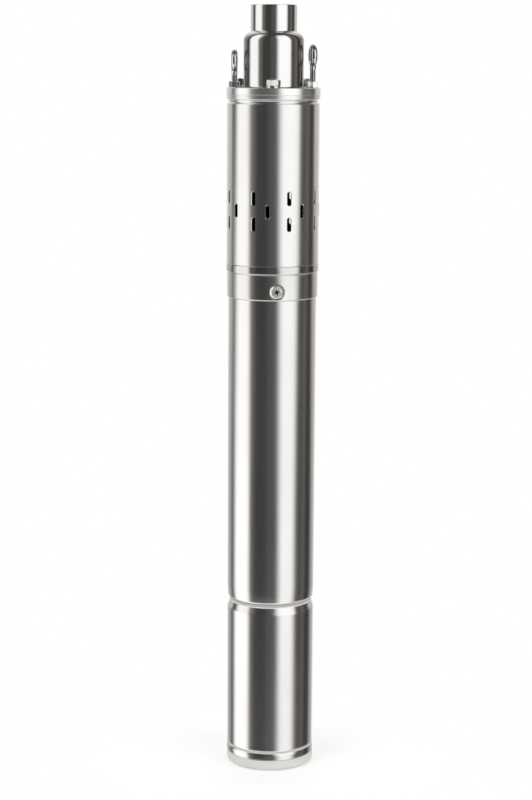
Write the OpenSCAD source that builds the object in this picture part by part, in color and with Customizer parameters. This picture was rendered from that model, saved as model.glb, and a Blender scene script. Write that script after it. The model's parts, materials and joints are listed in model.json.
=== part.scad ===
// Borehole submersible pump: a screw pump at the top, its motor below and a capacitor housing at the foot.
// Millimetres. The origin is the centre of the foot, +Z is up and -Y is the front.

/* [Outlet head] */
// Outside diameter of the outlet socket
outlet_od = 38; // [37:0.5:44]
// Height of the outlet socket above the shoulder
outlet_h = 21; // [18:0.5:32]
// Major diameter of the pipe thread in the outlet
thread_d = 33.25; // [28:0.25:33.5]
// Depth of the threaded bore
thread_depth = 18; // [12:0.5:20]
// Height of the neck from the flange to the outlet socket
neck_h = 45; // [38:0.5:60]
// Wall of the neck
neck_wall = 2.3; // [1.5:0.1:2.4]
// Radius of the rounded shoulder at the top of the neck
shoulder_r = 8; // [5:0.5:9]
// Thickness of the flange
flange_t = 5.5; // [4:0.5:9]
// How far the flange stands out past the strainer casing
flange_proud = 0.6; // [0.2:0.1:3]

/* [Strainer casing] */
// Outside diameter of the strainer casing
casing_od = 76; // [76:0.5:90]
// Wall of the strainer casing
casing_wall = 1.5; // [1:0.1:1.6]
// Height of the strainer casing
casing_h = 137.5; // [125:0.5:180]
// Height of the rim above the rolled groove
rim_h = 3.9; // [3.5:0.1:6]
// Depth of the rolled groove
groove_depth = 1.3; // [0.8:0.1:1.4]
// Height of the rolled groove
groove_h = 3.5; // [3:0.1:5]
// Width of an intake slot
slot_w = 3.2; // [2:0.1:4]
// Length of an intake slot
slot_len = 11; // [8:0.5:13]
// Number of slot groups around the casing, three slots in each
slot_groups = 8; // [4:1:9]
// Height of the middle row of slots above the foot of the casing
slot_row_h = 44.5; // [30:0.5:60]
// Distance from one row of slots to the next
slot_row_pitch = 10.4; // [8:0.1:14]
// Angle from the front to the first group's pair of slots
slot_start_angle = -24.5; // [-45:0.5:45]
// Angle between the pair of slots and the single slot of a group
slot_stagger = 18; // [12:0.5:20]

/* [Connecting body] */
// Height of the turned sleeve
sleeve_h = 21.5; // [20:0.5:30]
// How far the sleeve lies inside the strainer casing's outside
sleeve_step = 0.5; // [0.2:0.1:1]
// Height of the band under the strainer casing
band_h = 6.5; // [5:0.5:10]
// How far the band stands out past the strainer casing
band_proud = 0.3; // [0:0.1:0.5]
// Height of the oil plug above the foot of the sleeve
plug_h = 7.5; // [7:0.5:9]
// Angle of the oil plug from the front
plug_angle = 5.6; // [-30:0.1:30]
// Thread diameter of the oil plug
plug_d = 8; // [6:1:8]
// Head diameter of the oil plug
plug_head_d = 10.6; // [9:0.1:12]

/* [Motor barrel and lower shell] */
// Outside diameter of the motor barrel and the lower shell
barrel_od = 73; // [70:0.5:75]
// Wall of the motor barrel and the lower shell
tube_wall = 1.5; // [1:0.1:2]
// Height of the motor barrel
barrel_h = 255; // [230:1:320]
// Radius of the rolled lower rim of the motor barrel
barrel_roll = 2.5; // [2.5:0.5:5]
// Height of the lower shell
shell_h = 126; // [118:1:180]
// How far the shoulder of the lower shell reaches in
shell_roll = 6; // [4:0.5:8]
// Height of the sloped part of that shoulder
shell_slope_h = 6.5; // [5:0.5:9]
// Angle of that slope from upright
shell_slope = 17; // [12:1:18]
// Height of the bracket collar between the two tubes
collar_h = 2; // [2:0.5:6]
// How far the bracket collar lies inside the tubes' outside
collar_recess = 2.05; // [1:0.05:2.4]

/* [Foot] */
// Height of the foot pad
foot_h = 8.6; // [7:0.1:14]
// Height of the bead on the bottom cover
bead_h = 6.4; // [5.6:0.1:8]
// Height of the notch between the bead and the lower shell
notch_h = 1; // [0.5:0.1:2]
// How far the bead stands out past the lower shell
bead_proud = 0.3; // [0:0.1:1]
// Radius of the lower edge of the foot pad
foot_fillet = 2; // [1:0.5:3]

/* [Screw pump] */
// Outside diameter of the stator tube
stator_od = 44; // [40:0.5:44]
// Wall of the stator tube
stator_wall = 2; // [1.5:0.1:3]
// Length of the stator
stator_len = 116; // [90:1:122]
// Diameter of the screw's round section
screw_d = 18; // [12:0.5:19]
// Eccentricity of the screw
eccentricity = 2.6; // [1.5:0.1:2.8]
// Pitch of the screw, half the pitch of the stator
screw_pitch = 28; // [22:1:40]
// Diameter of the flexible shaft
flex_d = 7; // [5:0.5:8]

/* [Motor] */
// Length of the laminated cores
core_len = 140; // [100:5:150]
// Diameter of the rotor core
rotor_od = 40; // [34:0.5:42]
// Air gap between the cores
air_gap = 0.5; // [0.4:0.1:1]
// Number of slots in the stator core
stator_slots = 24; // [12:6:24]
// Height of the winding heads
winding_h = 22; // [14:1:24]
// Diameter of the motor shaft in the rotor core
shaft_d = 18; // [17.5:0.5:22]
// Bore of the ball bearings
bearing_bore = 15; // [13:1:16]
// Outside diameter of the ball bearings
bearing_od = 35; // [35:1:40]
// Width of the ball bearings
bearing_w = 11; // [10:0.5:13]
// Diameter of the bearing balls
ball_d = 6; // [5:0.1:6]
// Number of balls in a bearing
ball_count = 8; // [6:1:8]

/* [Fasteners and cable entry] */
// Thread diameter of the tie studs
stud_d = 6; // [4:1:6]
// Width across flats of the tie-stud nuts
stud_nut_flats = 10; // [9:0.5:11]
// Height of the tie-stud nuts
stud_nut_h = 5; // [4:0.1:7]
// Outside diameter of the tie-stud washers
washer_d = 12; // [11:0.5:12.5]
// Thickness of the tie-stud washers
washer_t = 1.6; // [1:0.1:2]
// Wire diameter of the eye bolts
eye_wire_d = 5; // [4:0.5:5.5]
// Inside diameter of the eyes
eye_d = 8; // [6:0.5:9]
// Height of the left eye's top above the flange
left_eye_h = 30; // [28:0.5:44]
// Height of the right eye's top above the flange
right_eye_h = 34.5; // [32:0.5:48]
// Angle by which the right eye is turned
right_eye_turn = 10; // [-90:1:90]
// Width across flats of the eye-bolt nuts
eye_nut_flats = 8; // [7:0.5:9]
// Height of the eye-bolt nuts
eye_nut_h = 4.7; // [3:0.1:6]
// Width across flats of the cable gland
gland_flats = 12; // [11:0.5:12.5]
// Diameter of the cable that the gland takes
cable_d = 7.5; // [5:0.5:8]

/* [Capacitor] */
// Diameter of the capacitor
capacitor_d = 42; // [30:1:50]
// Height of the capacitor
capacitor_h = 76; // [50:1:80]

/* [Hidden] */
$fn = 96;

// Clearances: pieces that stay together, running fits, moving pieces, and bolts in their holes
fit = 0.05;
run_gap = 0.06;
moving_gap = 0.5;
hole_gap = 0.3;
// Reach of a cutting tool past the face that it cuts
past = 1;

// Radii
casing_r = casing_od / 2;
flange_r = casing_r + flange_proud;
band_r = casing_r + band_proud;
sleeve_r = casing_r - sleeve_step;
barrel_r = barrel_od / 2;
tube_r = barrel_r - tube_wall;
outlet_r = outlet_od / 2;
thread_r = thread_d / 2;
stator_r = stator_od / 2;
stator_gap = 0.2;
neck_bore_r = stator_r + stator_gap;
neck_r = neck_bore_r + neck_wall;
edge_chamfer = 0.6;

// Heights of the main joints, from the foot up
z_shell = foot_h + bead_h + notch_h;
z_collar = z_shell + shell_h;
z_barrel = z_collar + collar_h;
z_sleeve = z_barrel + barrel_h;
z_band = z_sleeve + sleeve_h;
z_casing = z_band + band_h;
z_flange = z_casing + casing_h;
z_neck = z_flange + flange_t;
z_socket = z_neck + neck_h;
z_shoulder = z_socket - shoulder_r;
z_top = z_socket + outlet_h;

// O-rings
ring_r = 1;
ring_groove_h = 2 * (ring_r + 2 * fit);
tube_ring_r = tube_r - fit - ring_r;
tube_ring_groove_r = tube_ring_r - ring_r - fit;
head_ring_r = neck_bore_r + 0.8 + ring_r;

// Bolt circle: the washers clear the fillet at the foot of the neck
neck_fillet = 1;
bolt_r = neck_r + neck_fillet + hole_gap + washer_d / 2;
gland_r = neck_r + neck_fillet + gland_flats / 2;
stud_angles = [0, 120, 240];
stud_nut_turn = 10;
left_angle = -90;
left_nut_turn = 30;
right_angle = 90;
rear_angle = 180;
// Both eye bolts are alike, so the lower one reaches further through the flange
eye_len = right_eye_h + flange_t - fit;

// Cable gland
gland_body_h = 6;
gland_nut_h = 5;
gland_lip = 1.2;
gland_wall = 0.8;
cable_seal_wall = 1;
cable_seal_r = cable_d / 2 + cable_seal_wall;
gland_shank_r = cable_seal_r + fit + gland_wall;

// Rolled groove of the strainer casing, an arc of this radius round a point outside the wall
groove_r = (pow(groove_h / 2, 2) + pow(groove_depth, 2)) / (2 * groove_depth);
groove_x = casing_r - groove_depth + groove_r;
z_groove = z_flange - rim_h - groove_h / 2;
rim_proud = 0.2;
rim_round = 0.5;

// Holding disc of the stator tube, on the ridge inside the rolled groove
disc_r = casing_r - casing_wall - 3 * fit;
z_disc = z_groove + sqrt(pow(groove_r + casing_wall, 2) - pow(groove_x - disc_r, 2)) + fit;
z_stator_top = z_shoulder - 1;
z_stator = z_stator_top - stator_len;
rubber_inset = 1;
rubber_r = stator_r - stator_wall - fit;

// Screw and its drive
screw_gap = 0.4;
screw_reach = 4;
z_screw = z_stator - screw_reach;
z_screw_top = z_stator_top + screw_reach / 2;
socket_r = 7.5;
socket_h = 13;
socket_depth = 10;
z_screw_socket = z_screw - socket_h;
screw_sides = 22;
cavity_sides = 24;
slices_per_turn = 16;

// Connecting body
spigot_h = 11.5;
spigot_ring_h = 5;
spigot_r = tube_r - fit;
collar_spigot_h = 6;
top_spigot_r = casing_r - casing_wall - fit;
z_spigot = z_sleeve - spigot_h;
z_step = z_casing + collar_spigot_h;
pit_depth = 3;
pit_r = 23;
z_pit = z_casing - pit_depth;
web_t = 8;
z_web = z_pit - web_t;
plate_r = 24;
ledge = 1;
chamber_r = plate_r - ledge;
ledge_rise = 2.5;
z_ledge = z_sleeve + ledge_rise;
lead_hole_r = 2.2;
lead_r = tube_ring_groove_r - 0.7 - lead_hole_r;
lead_seat_r = 3.4;
lead_seat_depth = 6;
stud_depth = 14;

// Oil plug, sunk so that its head stays inside the flange
plug_sink = 2.2;
plug_seat = sleeve_r - plug_sink;
plug_washer_t = 1;
plug_washer_d = plug_head_d + 2;
plug_head_h = 2.1;
plug_len = 9;
z_plug = z_sleeve + plug_h;

// Bearings
bearing_r = bearing_od / 2;
pitch_r = (bearing_bore + bearing_od) / 4;
ball_r = ball_d / 2;
race_gap = 0.12;
race_land = 0.7 * ball_r;
cage_land = 0.4 * ball_r;
plate_web = 2;
z_upper = z_ledge - plate_web - bearing_w;
bracket_rise = 17;
z_bracket_top = z_barrel + bracket_rise;
z_lower = z_bracket_top - 1 - bearing_w;
wave_t = 0.9;

// Motor shaft
journal_r = bearing_bore / 2 - fit;
seal_shaft_r = bearing_bore / 2 - 1.5;
shaft_r = shaft_d / 2;
shaft_tail = 1.8;
z_shaft = z_lower - shaft_tail;

// Mechanical seal in the oil chamber, from the web down
seat_r = 12;
seat_depth = 5;
seat_proud = 1;
seal_ring_r = 10.5;
seal_ring_h = 4;
seal_collar_h = 2.5;
collar_rise = 0.9;
z_seal_collar = z_ledge + collar_rise;
z_seal_ring_top = z_web - seat_proud - run_gap;
z_seal_ring = z_seal_ring_top - seal_ring_h;
spring_wire_r = 0.6;
spring_turns = 3;
spring_r = seal_shaft_r + 1 + spring_wire_r;

// Shaft coupling above the pit, with the sand slinger under it
slinger_t = 2.6;
z_slinger = z_pit + moving_gap;
z_coupling = z_slinger + slinger_t + fit;
coupling_r = 10;
coupling_h = 18;
shaft_socket = 8.5;
flex_socket = 7.5;
grub_r = 2;
grub_rise = 4;
z_shaft_top = z_coupling + shaft_socket - fit;
z_coupling_top = z_coupling + coupling_h;

// Flexible shaft, from the motor's axis to the screw's axis
flex_r = flex_d / 2;
flex_end_gap = 0.5;
z_flex = z_coupling_top - flex_socket + flex_end_gap;
z_bend = z_coupling_top + moving_gap;
z_bend_top = z_screw_socket - moving_gap;
z_flex_top = z_screw_socket + socket_depth - flex_end_gap;

// Cores, centred between the bracket and the bearing plate
z_core = (z_bracket_top + z_spigot - core_len) / 2;
core_r = tube_r - fit;
core_bore_r = rotor_od / 2 + air_gap;
yoke_t = 5;
tooth_tip = 1.2;
slot_mouth = 1.2;
slot_round_r = 1.7;
end_ring_h = 12;
end_ring_inset = 0.5;
end_ring_bore_r = 12.5;

// Lower bracket
skirt_h = 18;
roll_gap = 0.2;
bracket_web = 8;
bracket_rim = 10.5;
skirt_ring_h = 6;
neck_ring_drop = 7;
z_skirt = z_collar - skirt_h;
bracket_hollow_r = barrel_r - bracket_rim;
lower_neck_r = barrel_r - shell_roll - roll_gap;
shell_straight = shell_h - shell_slope_h - tube_wall * tan(shell_slope / 2);
upper_neck_r = barrel_r - barrel_roll - roll_gap;
bracket_lead_r = bearing_r + 4.5;
bracket_lead_hole_r = 2.5;
bracket_ring_heights = [z_skirt + skirt_ring_h, z_bracket_top - neck_ring_drop];

// Foot
bead_r = barrel_r + bead_proud;
bead_round = 1.5;
foot_r = bead_r - 0.2;
notch_r = barrel_r - 1;
cover_spigot_h = 10;
cover_spigot_wall = 5;
z_cover_ring = z_shell + cover_spigot_h / 2;
foot_screw_angles = [60, 180, 300];
foot_screw_inset = 12;
foot_screw_r = barrel_r - foot_screw_inset;
screw_head_r = 4;
screw_shank_r = 2;
screw_sink = 1;
screw_cone_h = screw_head_r - screw_shank_r;
screw_bite = 5;
capacitor_stud_r = 4;
capacitor_stud_h = bead_h + notch_h - 1.4;

// Places a child on a circle of radius r, an angle round from the front towards the right
module around(r, angle) {
    rotate([0, 0, angle]) translate([0, -r, 0]) children();
}

// Drilled hole of radius r from z0 to z1
module drill(r, z0, z1) {
    translate([0, 0, z0]) cylinder(h = z1 - z0, r = r);
}

// Half outline of a turned disc with both outer edges broken
module disc_outline(r, z0, z1, chamfer = edge_chamfer) {
    polygon([
        [0, z0], [r - chamfer, z0], [r, z0 + chamfer],
        [r, z1 - chamfer], [r - chamfer, z1], [0, z1]
    ]);
}

// Half outline of a plain ring
module ring_outline(r_in, r_out, z0, z1) {
    translate([r_in, z0]) square([r_out - r_in, z1 - z0]);
}

// Outline of a rectangle with its four corners rounded
module rounded_outline(x0, x1, z0, z1, r) {
    translate([x0 + r, z0]) square([x1 - x0 - 2 * r, z1 - z0]);
    translate([x0, z0 + r]) square([x1 - x0, z1 - z0 - 2 * r]);
    for (x = [x0 + r, x1 - r], z = [z0 + r, z1 - r]) translate([x, z]) circle(r);
}

// Hollow corner between a wall at x and a floor at z, filled to a radius
module corner_fillet(x, z, r) {
    translate([x, z]) difference() {
        translate([-past, -past]) square(r + past);
        translate([r, r]) circle(r);
    }
}

// Half outline of a thin tube's wall, from y = 0 to y = h, with its far end rolled inwards
module rolled_outline(h, roll) {
    difference() {
        union() {
            translate([tube_r, 0]) square([tube_wall, h - roll]);
            translate([barrel_r - roll, h - roll]) intersection() {
                circle(roll);
                translate([0, -past]) square(roll + past);
            }
        }
        translate([barrel_r - roll, h - roll]) circle(roll - tube_wall);
        translate([0, -past]) square([tube_r, h - roll + past]);
    }
}

// Half outline of the lower shell, whose wall leans in to a sloped shoulder and then turns level
module shell_outline() {
    z_bend = shell_h - shell_slope_h;
    lip_r = 1.2;
    slant = (shell_slope_h - lip_r * (1 - sin(shell_slope))) / cos(shell_slope);
    edge = [barrel_r - slant * sin(shell_slope), z_bend + slant * cos(shell_slope)];
    lip_x = edge[0] - lip_r * cos(shell_slope);
    under = shell_h - tube_wall;
    under_x = tube_r - (under - shell_straight) * tan(shell_slope);
    difference() {
        union() {
            polygon([[0, 0], [barrel_r, 0], [barrel_r, z_bend], edge, [lip_x, shell_h - lip_r],
                [lip_x, shell_h], [0, shell_h]]);
            translate([lip_x, shell_h - lip_r]) circle(lip_r);
        }
        polygon([[-past, -past], [tube_r, -past], [tube_r, shell_straight], [under_x, under],
            [-past, under]]);
        translate([-past, -past]) square([barrel_r - shell_roll + past, shell_h + 2 * past]);
    }
}

module o_ring(r, z) {
    rotate_extrude() translate([r, z]) circle(ring_r);
}

// Half outline of the groove that seats an O-ring against the motor barrel or the lower shell
module ring_groove_outline(z) {
    ring_outline(tube_ring_groove_r, tube_r + past, z - ring_groove_h / 2, z + ring_groove_h / 2);
}

// Hexagonal nut with both rims turned
module hex_nut(flats, h, bore_r) {
    corner_r = flats / 2 / cos(30);
    difference() {
        intersection() {
            cylinder(h = h, r = corner_r, $fn = 6);
            rotate_extrude() disc_outline(corner_r + 0.2, 0, h, 0.7);
        }
        drill(bore_r, -past, h + past);
    }
}

// Outline of an upright intake slot with round ends
module slot_outline() {
    straight = slot_len - slot_w;
    square([slot_w, straight], center = true);
    for (end = [-1, 1]) translate([0, end * straight / 2]) circle(d = slot_w);
}

// Outline of the neck and the outlet socket, with the fillet where the socket leaves the shoulder
module neck_outline() {
    shoulder_x = neck_r - shoulder_r;
    fillet = 1.6;
    fillet_x = outlet_r + fillet;
    fillet_z = z_shoulder + sqrt(pow(shoulder_r + fillet, 2) - pow(fillet_x - shoulder_x, 2));
    difference() {
        translate([0, z_flange + past]) square([neck_r, fillet_z - z_flange - past]);
        translate([fillet_x, fillet_z]) circle(fillet);
        difference() {
            polygon([[fillet_x, fillet_z], [fillet_x, fillet_z + past], [neck_r + past, fillet_z + past],
                [neck_r + past, z_shoulder], [shoulder_x, z_shoulder]]);
            translate([shoulder_x, z_shoulder]) circle(shoulder_r);
        }
    }
    disc_outline(outlet_r, z_shoulder, z_top);
    corner_fillet(neck_r, z_neck, neck_fillet);
}

// Hollow of the outlet head: stator bore, rounded roof, water passage and threaded bore
module head_hollow_outline() {
    shoulder_x = neck_r - shoulder_r;
    roof_r = shoulder_r - neck_wall;
    z_thread = z_top - thread_depth;
    thread_lead = 1;
    passage_r = thread_r - 2.1;
    translate([0, z_flange - past]) square([neck_bore_r, z_shoulder - z_flange + past]);
    translate([shoulder_x, z_shoulder]) circle(roof_r);
    translate([0, z_shoulder - past]) square([shoulder_x, roof_r + past]);
    translate([0, z_shoulder]) square([passage_r, z_top - z_shoulder]);
    translate([0, z_thread]) square([thread_r, thread_depth + past]);
    polygon([[0, z_top - thread_lead], [thread_r, z_top - thread_lead], [thread_r + thread_lead, z_top],
        [thread_r + thread_lead, z_top + past], [0, z_top + past]]);
}

// Pressed neck and outlet socket, standing on the flange
module outlet_head() {
    color("silver") rotate_extrude() difference() {
        neck_outline();
        head_hollow_outline();
        ring_outline(0, flange_r, z_flange, z_neck + fit);
    }
}

module head_flange() {
    color("silver") difference() {
        rotate_extrude() difference() {
            disc_outline(flange_r, z_flange, z_neck);
            ring_outline(0, neck_bore_r, z_flange - past, z_neck + past);
            ring_outline(head_ring_r - ring_r - fit, head_ring_r + ring_r + fit,
                z_flange - past, z_flange + 2 * ring_r + fit);
        }
        for (angle = stud_angles)
            around(bolt_r, angle) drill(stud_d / 2 + hole_gap, z_flange - past, z_neck + past);
        for (angle = [left_angle, right_angle])
            around(bolt_r, angle) drill(eye_wire_d / 2 + fit, z_flange - past, z_neck + past);
        around(gland_r, rear_angle) drill(gland_shank_r + fit, z_flange - past, z_neck + past);
    }
}

module head_o_ring() {
    color("black") o_ring(head_ring_r, z_flange + ring_r + fit / 2);
}

module strainer_casing() {
    color("silver") difference() {
        rotate_extrude() difference() {
            union() {
                ring_outline(casing_r - casing_wall, casing_r, z_casing, z_flange);
                rounded_outline(casing_r - casing_wall, casing_r + rim_proud,
                    z_flange - rim_h, z_flange, rim_round);
                intersection() {
                    translate([groove_x, z_groove]) circle(groove_r + casing_wall);
                    ring_outline(0, casing_r, z_casing, z_flange);
                }
            }
            translate([groove_x, z_groove]) circle(groove_r);
        }
        for (group = [0 : slot_groups - 1]) {
            pair_angle = slot_start_angle + group * 360 / slot_groups;
            for (row = [-1, 1]) intake_slot(pair_angle, row);
            intake_slot(pair_angle + slot_stagger, 0);
        }
    }
}

// Cutter of one intake slot, in row -1, 0 or 1
module intake_slot(angle, row) {
    around(casing_r + past, angle) translate([0, 0, z_casing + slot_row_h + row * slot_row_pitch])
        rotate([-90, 0, 0]) linear_extrude(casing_wall + 3 * past) slot_outline();
}

module stator_tube() {
    color("lightgray") difference() {
        rotate_extrude() {
            ring_outline(stator_r - stator_wall, stator_r, z_stator, z_stator_top);
            ring_outline(stator_r - stator_wall, disc_r, z_disc, z_flange);
        }
        for (angle = stud_angles)
            around(bolt_r, angle) drill(stud_d / 2 + hole_gap, z_disc - past, z_flange + past);
        for (angle = [left_angle, right_angle])
            around(bolt_r, angle) drill(eye_wire_d / 2 + hole_gap, z_disc - past, z_flange + past);
        around(gland_r, rear_angle) drill(cable_d / 2 + hole_gap, z_disc - past, z_flange + past);
    }
}

// Section of the stator's cavity: the screw's round section slides to and fro along it
module cavity_outline() {
    r = screw_d / 2 + screw_gap;
    square([4 * eccentricity, 2 * r], center = true);
    for (end = [-1, 1]) translate([end * 2 * eccentricity, 0]) circle(r);
}

module rubber_stator() {
    turn = 180 * stator_len / screw_pitch;
    color("dimgray") difference() {
        drill(rubber_r, z_stator + rubber_inset, z_stator_top - rubber_inset);
        translate([0, 0, z_stator])
            linear_extrude(stator_len, twist = -turn, slices = ceil(turn / 360 * 2 * slices_per_turn),
                $fn = cavity_sides)
            cavity_outline();
    }
}

// Single-start screw, its round section set off from the screw's own axis
module screw_rotor() {
    length = z_screw_top - z_screw;
    turn = 360 * length / screw_pitch;
    start = -360 * screw_reach / screw_pitch;
    color("gainsboro") translate([eccentricity, 0, z_screw]) rotate([0, 0, start])
        linear_extrude(length, twist = -turn, slices = ceil(turn / 360 * slices_per_turn), $fn = screw_sides)
        translate([eccentricity, 0]) circle(screw_d / 2);
}

module screw_socket() {
    color("silver") translate([eccentricity, 0, 0]) difference() {
        rotate_extrude() disc_outline(socket_r, z_screw_socket, z_screw);
        drill(flex_r + run_gap, z_screw_socket - past, z_screw_socket + socket_depth);
    }
}

// Faces of a tube given as rings of points that run clockwise seen along it
function tube_faces(rings, sides) = concat(
    [for (i = [0 : rings - 2]) for (j = [0 : sides - 1])
        let (k = (j + 1) % sides)
        [i * sides + j, i * sides + k, (i + 1) * sides + k, (i + 1) * sides + j]],
    [[for (j = [sides - 1 : -1 : 0]) j], [for (j = [0 : sides - 1]) (rings - 1) * sides + j]]
);

// Round pins at both ends and, between them, a slimmer rod that bends from the motor's axis to the screw's
module flexible_shaft() {
    sides = 24;
    rings = 15;
    rod_r = flex_r - 0.4;
    z0 = z_bend - past;
    rise = z_bend_top + past - z0;
    points = [for (i = [0 : rings - 1]) for (j = [0 : sides - 1])
        let (
            along = i / (rings - 1),
            shift = eccentricity * (1 - cos(180 * along)) / 2,
            side = -360 * j / sides
        ) [shift + rod_r * cos(side), rod_r * sin(side), z0 + rise * along]];
    color("slategray") {
        drill(flex_r, z_flex, z_bend);
        polyhedron(points, tube_faces(rings, sides));
        translate([eccentricity, 0, 0]) drill(flex_r, z_bend_top, z_flex_top);
    }
}

module shaft_coupling() {
    color("silver") difference() {
        rotate_extrude() disc_outline(coupling_r, z_coupling, z_coupling_top);
        drill(seal_shaft_r + fit, z_coupling - past, z_coupling + shaft_socket);
        drill(flex_r + run_gap, z_coupling_top - flex_socket, z_coupling_top + past);
        for (side = [left_angle, right_angle])
            grub_axis(side) drill(grub_r + fit, seal_shaft_r, coupling_r + past);
    }
}

// Frame of a coupling screw: its axis runs outwards along local Z
module grub_axis(side) {
    rotate([0, 0, side]) translate([0, 0, z_coupling + grub_rise]) rotate([90, 0, 0]) children();
}

module coupling_screws() {
    flats_r = 1.15;
    key_depth = 1.6;
    grub_end = coupling_r - 0.3;
    color("dimgray") for (side = [left_angle, right_angle]) grub_axis(side) difference() {
        drill(grub_r, seal_shaft_r + 2 * fit, grub_end);
        translate([0, 0, grub_end - key_depth]) cylinder(h = key_depth + past, r = flats_r, $fn = 6);
    }
}

module sand_slinger() {
    lip_r = coupling_r - 1;
    color("black") rotate_extrude() difference() {
        polygon([[0, z_slinger], [lip_r, z_slinger], [lip_r - 1.5, z_coupling - fit], [0, z_coupling - fit]]);
        ring_outline(0, seal_shaft_r + fit, z_slinger - past, z_coupling + past);
    }
}

module connecting_body_outline() {
    difference() {
        union() {
            disc_outline(spigot_r, z_spigot, z_sleeve + past);
            disc_outline(sleeve_r, z_sleeve, z_band + past);
            disc_outline(band_r, z_band, z_casing, 0.4);
            disc_outline(top_spigot_r, z_band, z_step);
        }
        ring_outline(0, plate_r + fit, z_spigot - past, z_ledge);
        ring_outline(0, chamber_r, z_spigot - past, z_web);
        ring_outline(0, seat_r + fit, z_web - past, z_web + seat_depth);
        ring_outline(0, seal_shaft_r + moving_gap, z_web, z_step + past);
        ring_outline(0, pit_r, z_pit, z_step + past);
        ring_groove_outline(z_spigot + spigot_ring_h);
    }
}

module connecting_body() {
    color("lightgray") difference() {
        rotate_extrude() connecting_body_outline();
        plug_axis() drill(plug_d / 2, chamber_r - past, plug_seat + past);
        plug_axis() drill(plug_washer_d / 2 + hole_gap, plug_seat, sleeve_r + past);
        for (angle = stud_angles)
            around(bolt_r, angle) drill(stud_d / 2 + fit, z_step - stud_depth, z_step + past);
        around(lead_r, rear_angle) drill(lead_hole_r, z_spigot - past, z_step);
        around(lead_r, rear_angle) drill(lead_seat_r + fit, z_step - lead_seat_depth, z_step + past);
    }
}

// Frame of the oil plug: its axis runs outwards along local Z
module plug_axis() {
    rotate([0, 0, plug_angle]) translate([0, 0, z_plug]) rotate([90, 0, 0]) children();
}

module oil_plug() {
    head_z = plug_seat + plug_washer_t;
    plug_head_r = plug_head_d / 2;
    head_round = 1.4;
    recess_w = 1.3;
    recess_len = 0.56 * plug_head_d;
    recess_depth = 1.5;
    color("silver") plug_axis() difference() {
        rotate_extrude() {
            ring_outline(0, plug_d / 2 - fit, head_z - plug_len, head_z + past / 2);
            intersection() {
                rounded_outline(-plug_head_r, plug_head_r,
                    head_z - plug_head_h, head_z + plug_head_h, head_round);
                ring_outline(0, plug_head_d, head_z, head_z + 2 * plug_head_h);
            }
        }
        for (turn = [45, 135]) rotate([0, 0, turn]) translate([0, 0, head_z + plug_head_h])
            cube([recess_len, recess_w, 2 * recess_depth], center = true);
    }
}

module oil_plug_washer() {
    color("darkgray") plug_axis() difference() {
        drill(plug_washer_d / 2, plug_seat, plug_seat + plug_washer_t);
        drill(plug_d / 2, plug_seat - past, plug_seat + plug_washer_t + past);
    }
}

module tie_studs() {
    proud = 0.3;
    z_end = z_neck + washer_t + stud_nut_h + proud;
    color("silver") for (angle = stud_angles) around(bolt_r, angle)
        rotate_extrude() disc_outline(stud_d / 2, z_step - stud_depth + fit, z_end);
}

module tie_nuts() {
    color("silver") for (angle = stud_angles) around(bolt_r, angle)
        translate([0, 0, z_neck + washer_t]) rotate([0, 0, stud_nut_turn])
            hex_nut(stud_nut_flats, stud_nut_h, stud_d / 2 + fit);
}

module tie_washers() {
    color("silver") for (angle = stud_angles) around(bolt_r, angle) difference() {
        drill(washer_d / 2, z_neck, z_neck + washer_t);
        drill(stud_d / 2 + hole_gap, z_neck - past, z_neck + washer_t + past);
    }
}

// Eye bolt of bent wire, of the given length under its top: a ring, a shank, and a throat that widens
// towards the ring but is pressed flat to no more than the wire's thickness
module eye_bolt(top, len) {
    wire_r = eye_wire_d / 2;
    eye_r = eye_d / 2 + wire_r;
    eye_z = top - eye_r - wire_r;
    throat_h = 0.8 * eye_d;
    throat_r = 1.5 * wire_r;
    throat_t = 0.96 * eye_wire_d;
    translate([0, 0, eye_z]) rotate([0, 90, 0]) rotate_extrude() translate([eye_r, 0]) circle(wire_r);
    translate([0, 0, eye_z - eye_r - throat_h + wire_r]) intersection() {
        cylinder(h = throat_h, r1 = wire_r, r2 = throat_r);
        translate([0, 0, throat_h / 2]) cube([throat_t, 3 * throat_r, 2 * throat_h], center = true);
    }
    drill(wire_r, top - len, eye_z - eye_r);
}

module left_eye_bolt() {
    color("silver") around(bolt_r, left_angle) rotate([0, 0, -left_angle])
        eye_bolt(z_neck + left_eye_h, eye_len);
}

module right_eye_bolt() {
    color("silver") around(bolt_r, right_angle) rotate([0, 0, right_eye_turn - right_angle])
        eye_bolt(z_neck + right_eye_h, eye_len);
}

module eye_bolt_nuts() {
    color("silver") for (angle = [left_angle, right_angle]) around(bolt_r, angle)
        translate([0, 0, z_neck]) rotate([0, 0, angle == left_angle ? left_nut_turn : 0])
            hex_nut(eye_nut_flats, eye_nut_h, eye_wire_d / 2 + fit);
}

// Threaded shank in the flange, under a hexagonal body
module cable_gland() {
    color("silver") around(gland_r, rear_angle) {
        translate([0, 0, z_neck]) hex_nut(gland_flats, gland_body_h, cable_seal_r + fit);
        difference() {
            drill(gland_shank_r, z_flange + fit, z_neck + past);
            drill(cable_seal_r + fit, z_flange - past, z_neck + 2 * past);
        }
    }
}

module gland_nut() {
    color("silver") around(gland_r, rear_angle) translate([0, 0, z_neck + gland_body_h]) difference() {
        hex_nut(gland_flats, gland_nut_h, cable_d / 2 + hole_gap);
        drill(cable_seal_r + fit, -past, gland_nut_h - gland_lip);
    }
}

module cable_seal() {
    color("black") around(gland_r, rear_angle) difference() {
        drill(cable_seal_r, z_flange + fit, z_neck + gland_body_h + gland_nut_h - gland_lip - fit);
        drill(cable_d / 2, z_flange - past, z_neck + gland_body_h + gland_nut_h);
    }
}

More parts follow.
